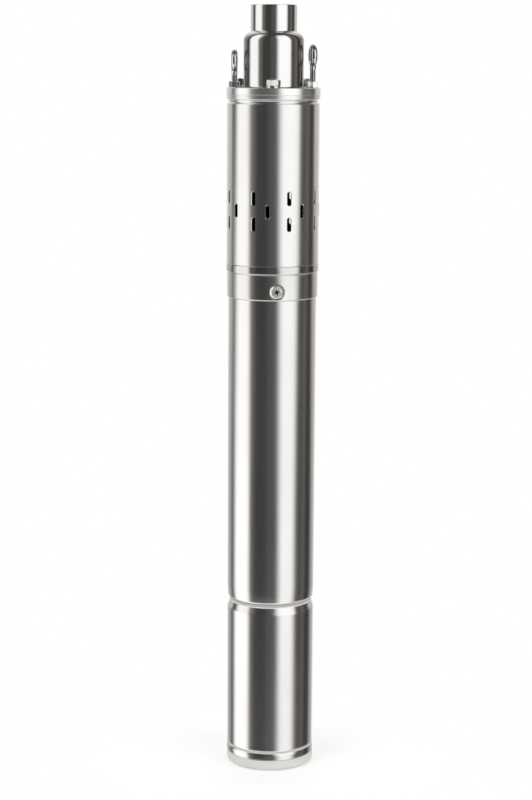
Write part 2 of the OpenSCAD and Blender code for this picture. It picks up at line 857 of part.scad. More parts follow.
// Rubber bush where the wires enter the motor
module lead_bush() {
    rise = 1.5;
    color("black") around(lead_r, rear_angle) rotate_extrude() difference() {
        disc_outline(lead_seat_r, z_step - lead_seat_depth, z_step + rise);
        ring_outline(0, lead_hole_r, z_step - lead_seat_depth - past, z_step + rise + past);
    }
}

module motor_barrel() {
    color("silver") rotate_extrude()
        translate([0, z_sleeve]) mirror([0, 1]) rolled_outline(barrel_h, barrel_roll);
}

module barrel_o_ring() {
    color("black") o_ring(tube_ring_r, z_spigot + spigot_ring_h);
}

module bearing_plate() {
    color("gray") rotate_extrude() difference() {
        disc_outline(plate_r, z_spigot, z_ledge);
        ring_outline(0, bearing_r + fit, z_spigot - past, z_upper + bearing_w);
        ring_outline(0, bearing_bore / 2 + moving_gap, z_spigot, z_ledge + past);
    }
}

// Outline of the groove that the balls of a bearing run in
module race_groove(z) {
    translate([pitch_r, z + bearing_w / 2]) circle(ball_r + race_gap);
}

module outer_race(z) {
    color("silver") rotate_extrude() difference() {
        ring_outline(pitch_r + race_land, bearing_r, z, z + bearing_w);
        race_groove(z);
    }
}

module inner_race(z) {
    color("silver") rotate_extrude() difference() {
        ring_outline(bearing_bore / 2, pitch_r - race_land, z, z + bearing_w);
        race_groove(z);
    }
}

// The balls of a bearing, or their pockets when grown by a gap
module ball_ring(z, grow = 0) {
    for (i = [0 : ball_count - 1]) rotate([0, 0, i * 360 / ball_count])
        translate([pitch_r, 0, z + bearing_w / 2]) sphere(ball_r + grow);
}

module balls(z) {
    color("whitesmoke") ball_ring(z);
}

// Crown cage: one rim above the balls, with fingers down between them
module cage(z) {
    middle = z + bearing_w / 2;
    color("goldenrod") difference() {
        rotate_extrude() ring_outline(pitch_r - cage_land, pitch_r + cage_land,
            middle - ball_r / 2, z + bearing_w - moving_gap);
        ball_ring(z, race_gap);
    }
}

module upper_outer_race() { outer_race(z_upper); }
module upper_inner_race() { inner_race(z_upper); }
module upper_balls() { balls(z_upper); }
module upper_cage() { cage(z_upper); }
module lower_outer_race() { outer_race(z_lower); }
module lower_inner_race() { inner_race(z_lower); }
module lower_balls() { balls(z_lower); }
module lower_cage() { cage(z_lower); }

// Section of the stator laminations: round-bottomed slots with narrow mouths
module stator_lamination() {
    slot_out = core_r - yoke_t - slot_round_r;
    slot_in = core_bore_r + tooth_tip;
    difference() {
        circle(core_r);
        circle(core_bore_r);
        for (i = [0 : stator_slots - 1]) rotate([0, 0, i * 360 / stator_slots]) {
            translate([slot_in, -slot_round_r]) square([slot_out - slot_in, 2 * slot_round_r]);
            translate([slot_out, 0]) circle(slot_round_r);
            translate([core_bore_r - past, -slot_mouth / 2]) square([tooth_tip + 2 * past, slot_mouth]);
        }
    }
}

module stator_core() {
    color("slategray") translate([0, 0, z_core]) linear_extrude(core_len) stator_lamination();
}

module stator_windings() {
    inset = 2;
    color("peru") for (z = [z_core - winding_h, z_core + core_len]) rotate_extrude()
        rounded_outline(core_bore_r + inset, core_r - inset, z, z + winding_h, 4);
}

module rotor_core() {
    color("slategray") difference() {
        drill(rotor_od / 2, z_core, z_core + core_len);
        drill(shaft_r + fit, z_core - past, z_core + core_len + past);
    }
}

module rotor_end_rings() {
    color("lightgray") for (z = [z_core - end_ring_h, z_core + core_len]) rotate_extrude()
        rounded_outline(end_ring_bore_r, rotor_od / 2 - end_ring_inset, z, z + end_ring_h, 1);
}

module motor_shaft() {
    chamfer = 0.8;
    color("silver") rotate_extrude() polygon([
        [0, z_shaft], [journal_r - chamfer, z_shaft], [journal_r, z_shaft + chamfer],
        [journal_r, z_lower + bearing_w], [shaft_r, z_lower + bearing_w],
        [shaft_r, z_upper], [journal_r, z_upper],
        [journal_r, z_seal_collar], [seal_shaft_r, z_seal_collar],
        [seal_shaft_r, z_shaft_top], [0, z_shaft_top]
    ]);
}

module seal_seat() {
    color("ivory") rotate_extrude()
        ring_outline(seal_shaft_r + moving_gap, seat_r, z_web - seat_proud, z_web + seat_depth);
}

module seal_ring() {
    color("dimgray") rotate_extrude()
        ring_outline(seal_shaft_r + fit, seal_ring_r, z_seal_ring, z_seal_ring_top);
}

module seal_collar() {
    color("silver") rotate_extrude()
        ring_outline(seal_shaft_r + fit, seal_ring_r, z_seal_collar, z_seal_collar + seal_collar_h);
}

// Coil spring swept along a helix between the collar and the seal ring
module seal_spring() {
    sides = 8;
    steps = 16 * spring_turns;
    z0 = z_seal_collar + seal_collar_h + spring_wire_r + fit;
    rise = z_seal_ring - fit - spring_wire_r - z0;
    points = [for (i = [0 : steps]) for (j = [0 : sides - 1])
        let (
            turn = 360 * spring_turns * i / steps,
            side = 360 * j / sides,
            r = spring_r + spring_wire_r * cos(side)
        ) [r * cos(turn), r * sin(turn), z0 + rise * i / steps + spring_wire_r * sin(side)]];
    color("silver") polyhedron(points, tube_faces(steps + 1, sides));
}

module lower_bracket_outline() {
    difference() {
        union() {
            disc_outline(spigot_r, z_skirt, z_shell + shell_straight - roll_gap);
            ring_outline(0, lower_neck_r, z_skirt + past, z_barrel);
            disc_outline(barrel_r - collar_recess, z_collar + fit, z_barrel - fit, 0.4);
            ring_outline(0, upper_neck_r, z_collar + past, z_bracket_top - past);
            disc_outline(spigot_r, z_barrel + barrel_roll + roll_gap, z_bracket_top);
        }
        ring_outline(0, bracket_hollow_r, z_skirt - past, z_collar - bracket_web);
        ring_outline(0, bearing_r + fit, z_lower - wave_t - fit, z_bracket_top + past);
        ring_outline(0, shaft_r + moving_gap, z_shaft - 2 * past, z_lower);
        for (z = bracket_ring_heights) ring_groove_outline(z);
    }
}

module lower_bracket() {
    color("lightgray") difference() {
        rotate_extrude() lower_bracket_outline();
        around(bracket_lead_r, rear_angle) drill(bracket_lead_hole_r, z_skirt - past, z_bracket_top + past);
    }
}

module bracket_o_rings() {
    color("black") for (z = bracket_ring_heights) o_ring(tube_ring_r, z);
}

module wave_washer() {
    color("silver") rotate_extrude()
        ring_outline(pitch_r + race_land, bearing_r - fit, z_lower - wave_t, z_lower);
}

module lower_shell() {
    color("silver") rotate_extrude() translate([0, z_shell]) shell_outline();
}

module capacitor() {
    rim = 2.5;
    r = capacitor_d / 2;
    color("white") {
        rotate_extrude() intersection() {
            rounded_outline(-r, r, z_shell, z_shell + capacitor_h, rim);
            ring_outline(0, r + past, z_shell - past, z_shell + capacitor_h + past);
        }
        drill(capacitor_stud_r, z_shell - capacitor_stud_h, z_shell + past);
    }
}

module capacitor_terminals() {
    blade = [0.8, 6.3, 9];
    spread = 7;
    foot_t = 1.5;
    z = z_shell + capacitor_h;
    color("gold") for (side = [-1, 1]) translate([side * spread, 0, z]) {
        cylinder(h = foot_t, r = 4);
        translate([-blade.x / 2, -blade.y / 2, 0]) cube(blade);
    }
}

module bottom_cover_outline() {
    spigot_in = tube_r - cover_spigot_wall;
    difference() {
        union() {
            ring_outline(0, bead_r - bead_round, foot_h, foot_h + bead_h);
            ring_outline(0, bead_r, foot_h + edge_chamfer, foot_h + bead_h - bead_round);
            translate([bead_r - bead_round, foot_h + bead_h - bead_round]) circle(bead_round);
            ring_outline(0, foot_r - edge_chamfer, foot_h, foot_h + bead_h / 2);
            ring_outline(0, notch_r, foot_h + past, z_shell);
            disc_outline(spigot_r, foot_h + past, z_shell + cover_spigot_h);
        }
        ring_outline(0, spigot_in, z_shell, z_shell + cover_spigot_h + past);
        ring_groove_outline(z_cover_ring);
    }
}

module bottom_cover() {
    color("silver") difference() {
        rotate_extrude() bottom_cover_outline();
        drill(capacitor_stud_r + fit, z_shell - capacitor_stud_h - fit, z_shell + past);
        for (angle = foot_screw_angles)
            around(foot_screw_r, angle) drill(screw_shank_r + fit, foot_h - past, foot_h + screw_bite + fit);
    }
}

module cover_o_ring() {
    color("black") o_ring(tube_ring_r, z_cover_ring);
}

module foot_pad() {
    color("darkgray") difference() {
        rotate_extrude() {
            ring_outline(0, foot_r - foot_fillet, 0, foot_h);
            ring_outline(0, foot_r, foot_fillet, foot_h);
            translate([foot_r - foot_fillet, foot_fillet]) circle(foot_fillet);
        }
        for (angle = foot_screw_angles)
            around(foot_screw_r, angle) foot_screw(fit, foot_h + past, screw_sink + past);
    }
}

// Countersunk foot screw, or its hole when grown, up to a height and with its head run down by a length
module foot_screw(grow, top, run = 0) {
    rotate_extrude() polygon([
        [0, screw_sink - run], [screw_head_r + grow, screw_sink - run], [screw_head_r + grow, screw_sink],
        [screw_shank_r + grow, screw_sink + screw_cone_h], [screw_shank_r + grow, top], [0, top]
    ]);
}

module foot_screws() {
    recess = [4.8, 0.9, 2.4];
    color("silver") for (angle = foot_screw_angles) around(foot_screw_r, angle) difference() {
        foot_screw(0, foot_h + screw_bite);
        for (turn = [0, 90]) rotate([0, 0, turn]) translate([0, 0, screw_sink]) cube(recess, center = true);
    }
}

outlet_head();
head_flange();
head_o_ring();
strainer_casing();
stator_tube();
rubber_stator();
connecting_body();
oil_plug();
oil_plug_washer();
tie_studs();
tie_nuts();
tie_washers();
left_eye_bolt();
right_eye_bolt();
eye_bolt_nuts();
cable_gland();
gland_nut();
cable_seal();
lead_bush();
motor_barrel();
barrel_o_ring();
bearing_plate();
upper_outer_race();
stator_core();
stator_windings();
lower_bracket();
bracket_o_rings();
lower_outer_race();
wave_washer();
lower_shell();
capacitor();
capacitor_terminals();
bottom_cover();
cover_o_ring();
foot_pad();
foot_screws();
seal_seat();
motor_shaft();
rotor_core();
rotor_end_rings();
upper_inner_race();
lower_inner_race();
seal_ring();
seal_spring();
seal_collar();
sand_slinger();
shaft_coupling();
coupling_screws();
flexible_shaft();
screw_rotor();
screw_socket();
upper_balls();
upper_cage();
lower_balls();
lower_cage();
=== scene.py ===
import json
import math

import bpy
from mathutils import Matrix, Vector


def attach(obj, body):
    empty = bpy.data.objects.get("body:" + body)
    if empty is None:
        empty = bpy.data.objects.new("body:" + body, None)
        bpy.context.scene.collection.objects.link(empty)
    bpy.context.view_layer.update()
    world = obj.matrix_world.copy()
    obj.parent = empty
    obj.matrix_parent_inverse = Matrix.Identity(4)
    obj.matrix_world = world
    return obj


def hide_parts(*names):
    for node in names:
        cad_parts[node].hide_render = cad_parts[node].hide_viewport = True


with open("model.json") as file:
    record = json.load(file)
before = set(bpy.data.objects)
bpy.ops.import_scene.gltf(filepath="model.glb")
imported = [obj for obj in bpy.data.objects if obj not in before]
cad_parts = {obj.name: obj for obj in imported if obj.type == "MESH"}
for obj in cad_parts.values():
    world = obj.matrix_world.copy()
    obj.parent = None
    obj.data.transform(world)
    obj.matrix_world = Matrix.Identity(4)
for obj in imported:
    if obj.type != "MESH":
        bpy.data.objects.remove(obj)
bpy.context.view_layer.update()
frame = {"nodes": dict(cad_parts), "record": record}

nodes = frame["nodes"]
mm = 0.001
scene = bpy.context.scene
scene.view_settings.view_transform = "Standard"
print("frame loaded:", len(nodes), "nodes")


# Selection and editing
def editing():
    bpy.ops.object.mode_set(mode="EDIT")


def doneEditing():
    bpy.ops.object.mode_set(mode="OBJECT")


def deselectAll():
    if bpy.context.object and bpy.context.object.mode != "OBJECT":
        doneEditing()
    bpy.ops.object.select_all(action="DESELECT")


def activate(piece):
    deselectAll()
    piece.select_set(True)
    bpy.context.view_layer.objects.active = piece


def editAll(piece):
    activate(piece)
    editing()
    bpy.ops.mesh.select_all(action="SELECT")


def selectNone(piece, kind):
    activate(piece)
    editing()
    bpy.ops.mesh.select_mode(type=kind)
    bpy.ops.mesh.select_all(action="DESELECT")
    doneEditing()


def selectVertices(piece, wanted):
    selectNone(piece, "VERT")
    for vertex in piece.data.vertices:
        vertex.select = wanted(vertex.co)
    editing()


def selectEdges(piece, wanted):
    selectNone(piece, "EDGE")
    for edge in piece.data.edges:
        edge.select = wanted(*(piece.data.vertices[index].co for index in edge.vertices))
    editing()


def applyModifier(piece, kind, **values):
    activate(piece)
    modifier = piece.modifiers.new(kind.lower(), kind)
    for name, value in values.items():
        setattr(modifier, name, value)
    bpy.ops.object.modifier_apply(modifier=modifier.name)


def applyPlace(piece):
    activate(piece)
    bpy.ops.object.transform_apply(location=True, rotation=True, scale=True)


def mendMesh(piece):
    editAll(piece)
    bpy.ops.mesh.remove_doubles(threshold=1e-7)
    bpy.ops.mesh.normals_make_consistent(inside=False)
    doneEditing()


def smooth(piece, angle=32):
    activate(piece)
    bpy.ops.object.shade_smooth_by_angle(angle=math.radians(angle))
    applyModifier(piece, "WEIGHTED_NORMAL", weight=80, keep_sharp=True)


def breakEdges(piece, width, angle, segments=2):
    applyModifier(piece, "BEVEL", width=width * mm, segments=segments, limit_method="ANGLE",
                  angle_limit=math.radians(angle), use_clamp_overlap=False)


def combine(piece, tool, operation="DIFFERENCE"):
    applyModifier(piece, "BOOLEAN", object=tool, operation=operation, solver="EXACT")
    bpy.data.objects.remove(tool, do_unlink=True)


def copyTo(piece, name, matrix):
    twin = piece.copy()
    twin.data = piece.data.copy()
    twin.name = twin.data.name = name
    scene.collection.objects.link(twin)
    twin.data.transform(matrix)
    return twin


def joinInto(first, *others):
    deselectAll()
    for piece in (first, *others):
        piece.select_set(True)
    bpy.context.view_layer.objects.active = first
    bpy.ops.object.join()
    return first


def around(radius, angle, height=0):
    # angle from the front towards the right, as the part's frame has it
    turned = Matrix.Rotation(math.radians(angle), 4, "Z")
    return turned @ Matrix.Translation((0, -radius * mm, height * mm))


# Turned pieces: a half outline drawn corner by corner, then spun round the axis
def drawOutline(name, corners, openEnded=False):
    # a corner is its x and z in mm, then the radius of a rounding and its segments where it has one
    near = 1e-6
    usualSegments = 5
    places = [(corner[0] * mm, corner[1] * mm) for corner in corners]
    deselectAll()
    bpy.ops.mesh.primitive_plane_add(size=mm, location=(places[0][0], 0, places[0][1]))
    piece = bpy.context.object
    piece.name = piece.data.name = name
    applyPlace(piece)
    editing()
    bpy.ops.mesh.select_mode(type="VERT")
    bpy.ops.mesh.select_all(action="SELECT")
    bpy.ops.mesh.merge(type="CENTER")
    for (x0, z0), (x1, z1) in zip(places, places[1:]):
        bpy.ops.mesh.extrude_region_move(TRANSFORM_OT_translate={"value": (x1 - x0, 0, z1 - z0)})
    if not openEnded:
        ends = (places[0], places[-1])
        selectVertices(piece, lambda co: any(math.dist((co.x, co.z), end) < near for end in ends))
        bpy.ops.mesh.edge_face_add()
    count = len(places)
    for i, corner in enumerate(corners):
        if len(corner) < 3:
            continue
        here, before, after = (Vector((*places[k % count], 0)) for k in (i, i - 1, i + 1))
        half = (before - here).angle(after - here) / 2
        selectVertices(piece, lambda co: math.dist((co.x, co.z), places[i]) < near)
        bpy.ops.mesh.bevel(offset=corner[2] * mm / math.tan(half), offset_type="OFFSET",
                           segments=corner[3] if len(corner) > 3 else usualSegments,
                           profile=0.5, affect="VERTICES")
    doneEditing()
    return piece


def arc(x, z, radius, start, end, count):
    # points of an arc, with angles in degrees from the outward direction
    angles = [math.radians(start + (end - start) * i / count) for i in range(count + 1)]
    return [(x + radius * math.cos(a), z + radius * math.sin(a)) for a in angles]


def turn(name, corners, steps=256):
    piece = drawOutline(name, corners, openEnded=corners[0][0] == corners[-1][0] == 0)
    editAll(piece)
    bpy.ops.mesh.spin(steps=steps, angle=2 * math.pi, center=(0, 0, 0), axis=(0, 0, 1))
    mendMesh(piece)
    return piece


def threadRidge(name, wall, crest, pitch, low, high, steps):
    # one tooth wound up a helix, then cut level at one end and sloping at the other
    inward = crest < wall
    sink = 0.05 if inward else -0.05
    tooth, flat = 0.44 * pitch, 0.06 * pitch
    start = low - pitch
    ridge = drawOutline(name, [(wall + sink, start - tooth), (crest, start - flat),
                               (crest, start + flat), (wall + sink, start + tooth)])
    turns = math.ceil((high - low) / pitch) + 2
    applyModifier(ridge, "SCREW", axis="Z", screw_offset=pitch * mm, iterations=turns, steps=steps,
                  render_steps=steps)
    editAll(ridge)
    bpy.ops.mesh.fill_holes(sides=0)
    mendMesh(ridge)
    spare = 1
    inner, outer = min(wall, crest) - spare, max(wall, crest) + spare
    lead = abs(wall - crest) + spare
    ends = turn(name + "Ends", [
        (inner, low), (outer, low), (outer, high if inward else high - lead),
        (inner, high - lead if inward else high)], steps=96)
    combine(ridge, ends, "INTERSECT")
    return ridge


def settle(piece, material, slot, *replaced):
    piece.data.materials.clear()
    piece.data.materials.append(material)
    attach(piece, "pump_body")
    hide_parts(*replaced)


# Camera at the photo's angle
photoCamera = {"focalPixels": 2050, "imageHeight": 800, "sensorMm": 36, "distance": 1.687,
               "height": 0.606, "pitchDown": 9.9, "yaw": 0.16, "roll": 0.32}


def placeCamera(setup):
    deselectAll()
    bpy.ops.object.camera_add(location=(0, -setup["distance"], setup["height"]))
    camera = bpy.context.object
    camera.name = "photoCamera"
    turnBy = [Matrix.Rotation(math.radians(angle), 3, axis) for angle, axis in
              ((setup["yaw"], "Z"), (90 - setup["pitchDown"], "X"), (setup["roll"], "Z"))]
    camera.rotation_euler = (turnBy[0] @ turnBy[1] @ turnBy[2]).to_euler()
    camera.data.sensor_width = setup["sensorMm"]
    camera.data.lens = setup["focalPixels"] * setup["sensorMm"] / setup["imageHeight"]
    scene.camera = camera


placeCamera(photoCamera)
print("camera placed")


# Nodes
def addNode(tree, kind, inputs=None, **settings):
    made = tree.nodes.new(kind)
    for name, value in settings.items():
        setattr(made, name, value)
    for name, value in (inputs or {}).items():
        if isinstance(value, bpy.types.NodeSocket):
            tree.links.new(value, made.inputs[name])
        else:
            made.inputs[name].default_value = value
    return made


def mathNode(tree, operation, first, second=0.0):
    return addNode(tree, "ShaderNodeMath", {0: first, 1: second}, operation=operation).outputs[0]


def rangeNode(tree, value, low, high, toLow=0.0, toHigh=1.0, smoothly=False):
    made = addNode(tree, "ShaderNodeMapRange", {
        "Value": value, "From Min": low, "From Max": high, "To Min": toLow, "To Max": toHigh})
    if smoothly:
        made.interpolation_type = "SMOOTHSTEP"
    return made.outputs["Result"]


def mixColours(tree, share, first, second):
    # the node's inputs 0, 6 and 7 are the factor and the two colours, and output 2 is the colour
    made = addNode(tree, "ShaderNodeMix", data_type="RGBA")
    for index, value in ((0, share), (6, first), (7, second)):
        if isinstance(value, bpy.types.NodeSocket):
            tree.links.new(value, made.inputs[index])
        else:
            made.inputs[index].default_value = value
    return made.outputs[2]


def objectPlace(tree):
    return addNode(tree, "ShaderNodeTexCoord").outputs["Object"]


def objectHeight(tree):
    return addNode(tree, "ShaderNodeSeparateXYZ", {"Vector": objectPlace(tree)}).outputs["Z"]


# Studio: softboxes and dark flags round the object, each from one azimuth to another in degrees
studio = {
    "levelPanels": [
        (-180, -152, (0.95, 0.95, 0.94)),
        (-148, -125, (0.66, 0.65, 0.63)),
        (-120, -107, (0.07, 0.07, 0.07)),
        (-97, -65, (1.20, 1.20, 1.19)),
        (-57, -48, (0.17, 0.143, 0.122)),
        (-40, -16, (0.052, 0.053, 0.050)),
        (-8, 9, (0.090, 0.096, 0.097)),
        (22, 65, (1.26, 1.26, 1.25)),
        (73, 86, (0.080, 0.078, 0.075)),
        (91, 99, (0.17, 0.14, 0.12)),
        (105, 118, (0.048, 0.048, 0.046)),
        (126, 148, (0.62, 0.61, 0.59)),
        (156, 180, (0.95, 0.95, 0.94)),
    ],
    "lowPanels": [
        (-180, -158, (0.86, 0.86, 0.85)),
        (-150, -136, (0.46, 0.45, 0.44)),
        (-130, -118, (0.15, 0.145, 0.14)),
        (-106, -65, (1.34, 1.34, 1.33)),
        (-56, -48, (0.12, 0.10, 0.085)),
        (-42, -16, (0.055, 0.056, 0.053)),
        (-9, 13, (0.088, 0.093, 0.093)),
        (28, 57, (1.16, 1.16, 1.15)),
        (71, 86, (0.075, 0.074, 0.071)),
        (92, 99, (0.14, 0.118, 0.10)),
        (105, 122, (0.042, 0.042, 0.041)),
        (137, 148, (0.50, 0.49, 0.48)),
        (158, 180, (1.04, 1.03, 1.02)),
    ],
    "lowFrom": (-0.04, -0.20),
    "overhead": (0.055, 0.057, 0.058, 1),
    "overheadFrom": (0.76, 0.98),
    "ground": (1.12, 1.12, 1.11, 1),
    "groundShare": 0.7,
    "groundFrom": (-0.375, -0.69),
    "background": (1.0, 1.0, 1.0, 1),
}


def panelRamp(tree, turned, panels):
    ramp = addNode(tree, "ShaderNodeValToRGB", {"Fac": turned})
    stops = [(angle, colour) for start, end, colour in panels for angle in (start, end)]
    points = ramp.color_ramp.elements
    while len(points) < len(stops):
        points.new(0.5)
    for i, (angle, colour) in enumerate(stops):
        points[i].position = (angle + 180) / 360
        points[i].color = (*colour, 1)
    return ramp.outputs["Color"]


def buildStudio(setup):
    world = bpy.data.worlds.new("studio")
    scene.world = world
    world.use_nodes = True
    tree = world.node_tree
    tree.nodes.clear()
    way = addNode(tree, "ShaderNodeTexCoord").outputs["Generated"]
    axes = addNode(tree, "ShaderNodeSeparateXYZ", {"Vector": way}).outputs
    azimuth = mathNode(tree, "ARCTAN2", axes["X"], mathNode(tree, "MULTIPLY", axes["Y"], -1.0))
    turned = rangeNode(tree, azimuth, -math.pi, math.pi)
    low = rangeNode(tree, axes["Z"], *setup["lowFrom"])
    light = mixColours(tree, low, panelRamp(tree, turned, setup["levelPanels"]),
                       panelRamp(tree, turned, setup["lowPanels"]))
    up = rangeNode(tree, axes["Z"], *setup["overheadFrom"], smoothly=True)
    down = rangeNode(tree, axes["Z"], *setup["groundFrom"], 0.0, setup["groundShare"], smoothly=True)
    light = mixColours(tree, up, light, setup["overhead"])
    light = mixColours(tree, down, light, setup["ground"])
    seen = addNode(tree, "ShaderNodeBackground", {"Color": setup["background"]})
    lit = addNode(tree, "ShaderNodeBackground", {"Color": light})
    path = addNode(tree, "ShaderNodeLightPath")
    both = addNode(tree, "ShaderNodeMixShader", {
        0: path.outputs["Is Camera Ray"], 1: lit.outputs[0], 2: seen.outputs[0]})
    addNode(tree, "ShaderNodeOutputWorld", {"Surface": both.outputs[0]})


# Soft lamps for matte surfaces and the floor's shadow
lamps = {
    "keyLamp": {"place": (-1.1, -1.3, 1.7), "size": 1.2, "power": 26},
    "fillLamp": {"place": (1.4, -0.9, 1.1), "size": 1.2, "power": 14},
    "topLamp": {"place": (0.1, 0.5, 2.0), "size": 1.4, "power": 14},
}
lampAim = (0, 0, 0.3)


def hangLamps(setups):
    for name, setup in setups.items():
        deselectAll()
        bpy.ops.object.light_add(type="AREA", location=setup["place"])
        lamp = bpy.context.object
        lamp.name = name
        lamp.data.size = setup["size"]
        lamp.data.energy = setup["power"]
        aim = Vector(lampAim) - lamp.location
        lamp.rotation_euler = aim.to_track_quat("-Z", "Y").to_euler()
        lamp.visible_glossy = False


# The floor is plain white to the camera, and keeps a little of its shadow round the foot
floorSetup = {"size": 12, "cuts": 8, "height": -0.0004, "colour": (0.93, 0.93, 0.925, 1), "rough": 0.9,
              "shadowTo": (0.036, 0.16), "shadowShare": 0.45}


def layFloor(setup):
    deselectAll()
    bpy.ops.mesh.primitive_plane_add(size=setup["size"], location=(0, 0, setup["height"]))
    floor = bpy.context.object
    floor.name = "paleFloor"
    applyPlace(floor)
    editAll(floor)
    bpy.ops.mesh.subdivide(number_cuts=setup["cuts"])
    doneEditing()
    material = bpy.data.materials.new("paleFloor")
    material.use_nodes = True
    tree = material.node_tree
    shader = tree.nodes["Principled BSDF"]
    shader.inputs["Base Color"].default_value = setup["colour"]
    shader.inputs["Roughness"].default_value = setup["rough"]
    distance = addNode(tree, "ShaderNodeVectorMath", {0: objectPlace(tree)}, operation="LENGTH")
    far = rangeNode(tree, distance.outputs["Value"], *setup["shadowTo"], 1 - setup["shadowShare"], 1.0,
                    smoothly=True)
    path = addNode(tree, "ShaderNodeLightPath")
    share = mathNode(tree, "MULTIPLY", far, path.outputs["Is Camera Ray"])
    white = addNode(tree, "ShaderNodeEmission", {"Color": (1, 1, 1, 1), "Strength": 1.0})
    both = addNode(tree, "ShaderNodeMixShader", {
        0: share, 1: shader.outputs[0], 2: white.outputs[0]})
    tree.links.new(both.outputs[0], tree.nodes["Material Output"].inputs["Surface"])
    floor.data.materials.append(material)
    floor.visible_glossy = False


buildStudio(studio)
hangLamps(lamps)
layFloor(floorSetup)
print("studio lit")


# Shared surface effects
def newGroup(name, inputs, outputs):
    group = bpy.data.node_groups.new(name, "ShaderNodeTree")
    for label, value in inputs:
        socket = group.interface.new_socket(label, in_out="INPUT", socket_type="NodeSocketFloat")
        socket.default_value = value
    for label in outputs:
        group.interface.new_socket(label, in_out="OUTPUT", socket_type="NodeSocketFloat")
    given = group.nodes.new("NodeGroupInput").outputs
    return group, given, group.nodes.new("NodeGroupOutput").inputs


def makeTurnedLines():
    # fine grooves round the axis, as a lathe tool or a polishing belt leaves them
    group, given, out = newGroup("turnedLines", [("Lines per metre", 3000.0), ("Wander", 0.3)],
                                 ["Height"])
    drift = addNode(group, "ShaderNodeTexNoise", {
        "Vector": objectPlace(group), "Scale": 24.0, "Detail": 1.0}).outputs[0]
    along = mathNode(group, "ADD",
                     mathNode(group, "MULTIPLY", objectHeight(group), given["Lines per metre"]),
                     mathNode(group, "MULTIPLY", drift, given["Wander"]))
    lines = addNode(group, "ShaderNodeTexNoise", {
        "W": along, "Scale": 1.0, "Detail": 2.0, "Roughness": 0.6}, noise_dimensions="1D")
    contrast = (0.25, 0.75)
    group.links.new(rangeNode(group, lines.outputs[0], *contrast), out["Height"])
    return group


def makeHaze():
    # patches where the polish is a little duller
    group, given, out = newGroup("polishHaze", [("Scale", 18.0), ("Low", 0.15), ("High", 0.22)],
                                 ["Roughness", "Patch"])
    stretched = addNode(group, "ShaderNodeMapping", {
        "Vector": objectPlace(group), "Scale": (1.0, 1.0, 0.35)}).outputs[0]
    cloud = addNode(group, "ShaderNodeTexNoise", {
        "Vector": stretched, "Scale": given["Scale"], "Detail": 5.0, "Roughness": 0.62})
    contrast = (0.3, 0.7)
    patch = rangeNode(group, cloud.outputs[0], *contrast)
    span = mathNode(group, "SUBTRACT", given["High"], given["Low"])
    rough = mathNode(group, "ADD", given["Low"], mathNode(group, "MULTIPLY", patch, span))
    group.links.new(rough, out["Roughness"])
    group.links.new(patch, out["Patch"])
    return group


# Runs of hairs: the scale along each axis, and a turn
hairRuns = [((30.0, 30.0, 5200.0), 0.04), ((4200.0, 4200.0, 24.0), -0.02), ((50.0, 50.0, 4000.0), 0.5)]


def makeScratches(runs):
    # sparse hairline scratches, some round the piece and some along it
    group, given, out = newGroup("hairScratches", [("Amount", 0.5)], ["Mask"])
    rarest, masks = (0.74, 0.80), []
    for scale, turned in runs:
        laid = addNode(group, "ShaderNodeMapping", {
            "Vector": objectPlace(group), "Rotation": (turned, 0.4 * turned, turned), "Scale": scale})
        hair = addNode(group, "ShaderNodeTexNoise", {
            "Vector": laid.outputs[0], "Scale": 1.0, "Detail": 0.0}).outputs[0]
        masks.append(rangeNode(group, hair, *rarest))
    most = mathNode(group, "MAXIMUM", mathNode(group, "MAXIMUM", masks[0], masks[1]), masks[2])
    group.links.new(mathNode(group, "MULTIPLY", most, given["Amount"]), out["Mask"])
    return group


def makeGrain():
    # fine grain of rubber, mouldings and castings
    group, given, out = newGroup("fineGrain", [("Scale", 900.0), ("Pits", 0.3)], ["Height", "Tone"])
    place = objectPlace(group)
    fine = addNode(group, "ShaderNodeTexNoise", {
        "Vector": place, "Scale": given["Scale"], "Detail": 4.0}).outputs[0]
    cells = addNode(group, "ShaderNodeTexVoronoi", {
        "Vector": place, "Scale": given["Scale"]}).outputs["Distance"]
    pitReach, contrast = 0.35, (0.3, 0.7)
    hollow = rangeNode(group, cells, 0.0, pitReach, 1.0, 0.0)
    pits = mathNode(group, "MULTIPLY", hollow, given["Pits"])
    group.links.new(mathNode(group, "SUBTRACT", fine, pits), out["Height"])
    wide = addNode(group, "ShaderNodeTexNoise", {
        "Vector": place, "Scale": 35.0, "Detail": 3.0}).outputs[0]
    group.links.new(rangeNode(group, wide, *contrast), out["Tone"])
    return group


turnedLines = makeTurnedLines()
polishHaze = makeHaze()
hairScratches = makeScratches(hairRuns)
fineGrain = makeGrain()


def placeGroup(tree, group, values):
    made = addNode(tree, "ShaderNodeGroup", node_tree=group)
    for name, value in values.items():
        made.inputs[name].default_value = value
    return made.outputs


def startMaterial(name):
    material = bpy.data.materials.new(name)
    material.use_nodes = True
    tree = material.node_tree
    return material, tree, tree.nodes["Principled BSDF"]


def shade(colour, factor):
    return (*(channel * factor for channel in colour), 1)


# What all metal finishes share; the blends are heights in metres
# paintedInnerShade is the near-black painted shade laid on inner faces of tubes and recesses
metalLook = {"scratches": 0.25, "scratchRough": 0.12, "paintedInnerShade": (0.025, 0.025, 0.024, 1),
             "innerRough": 0.4, "zoneBlend": 0.0002, "darkReflectionBlend": 0.004}


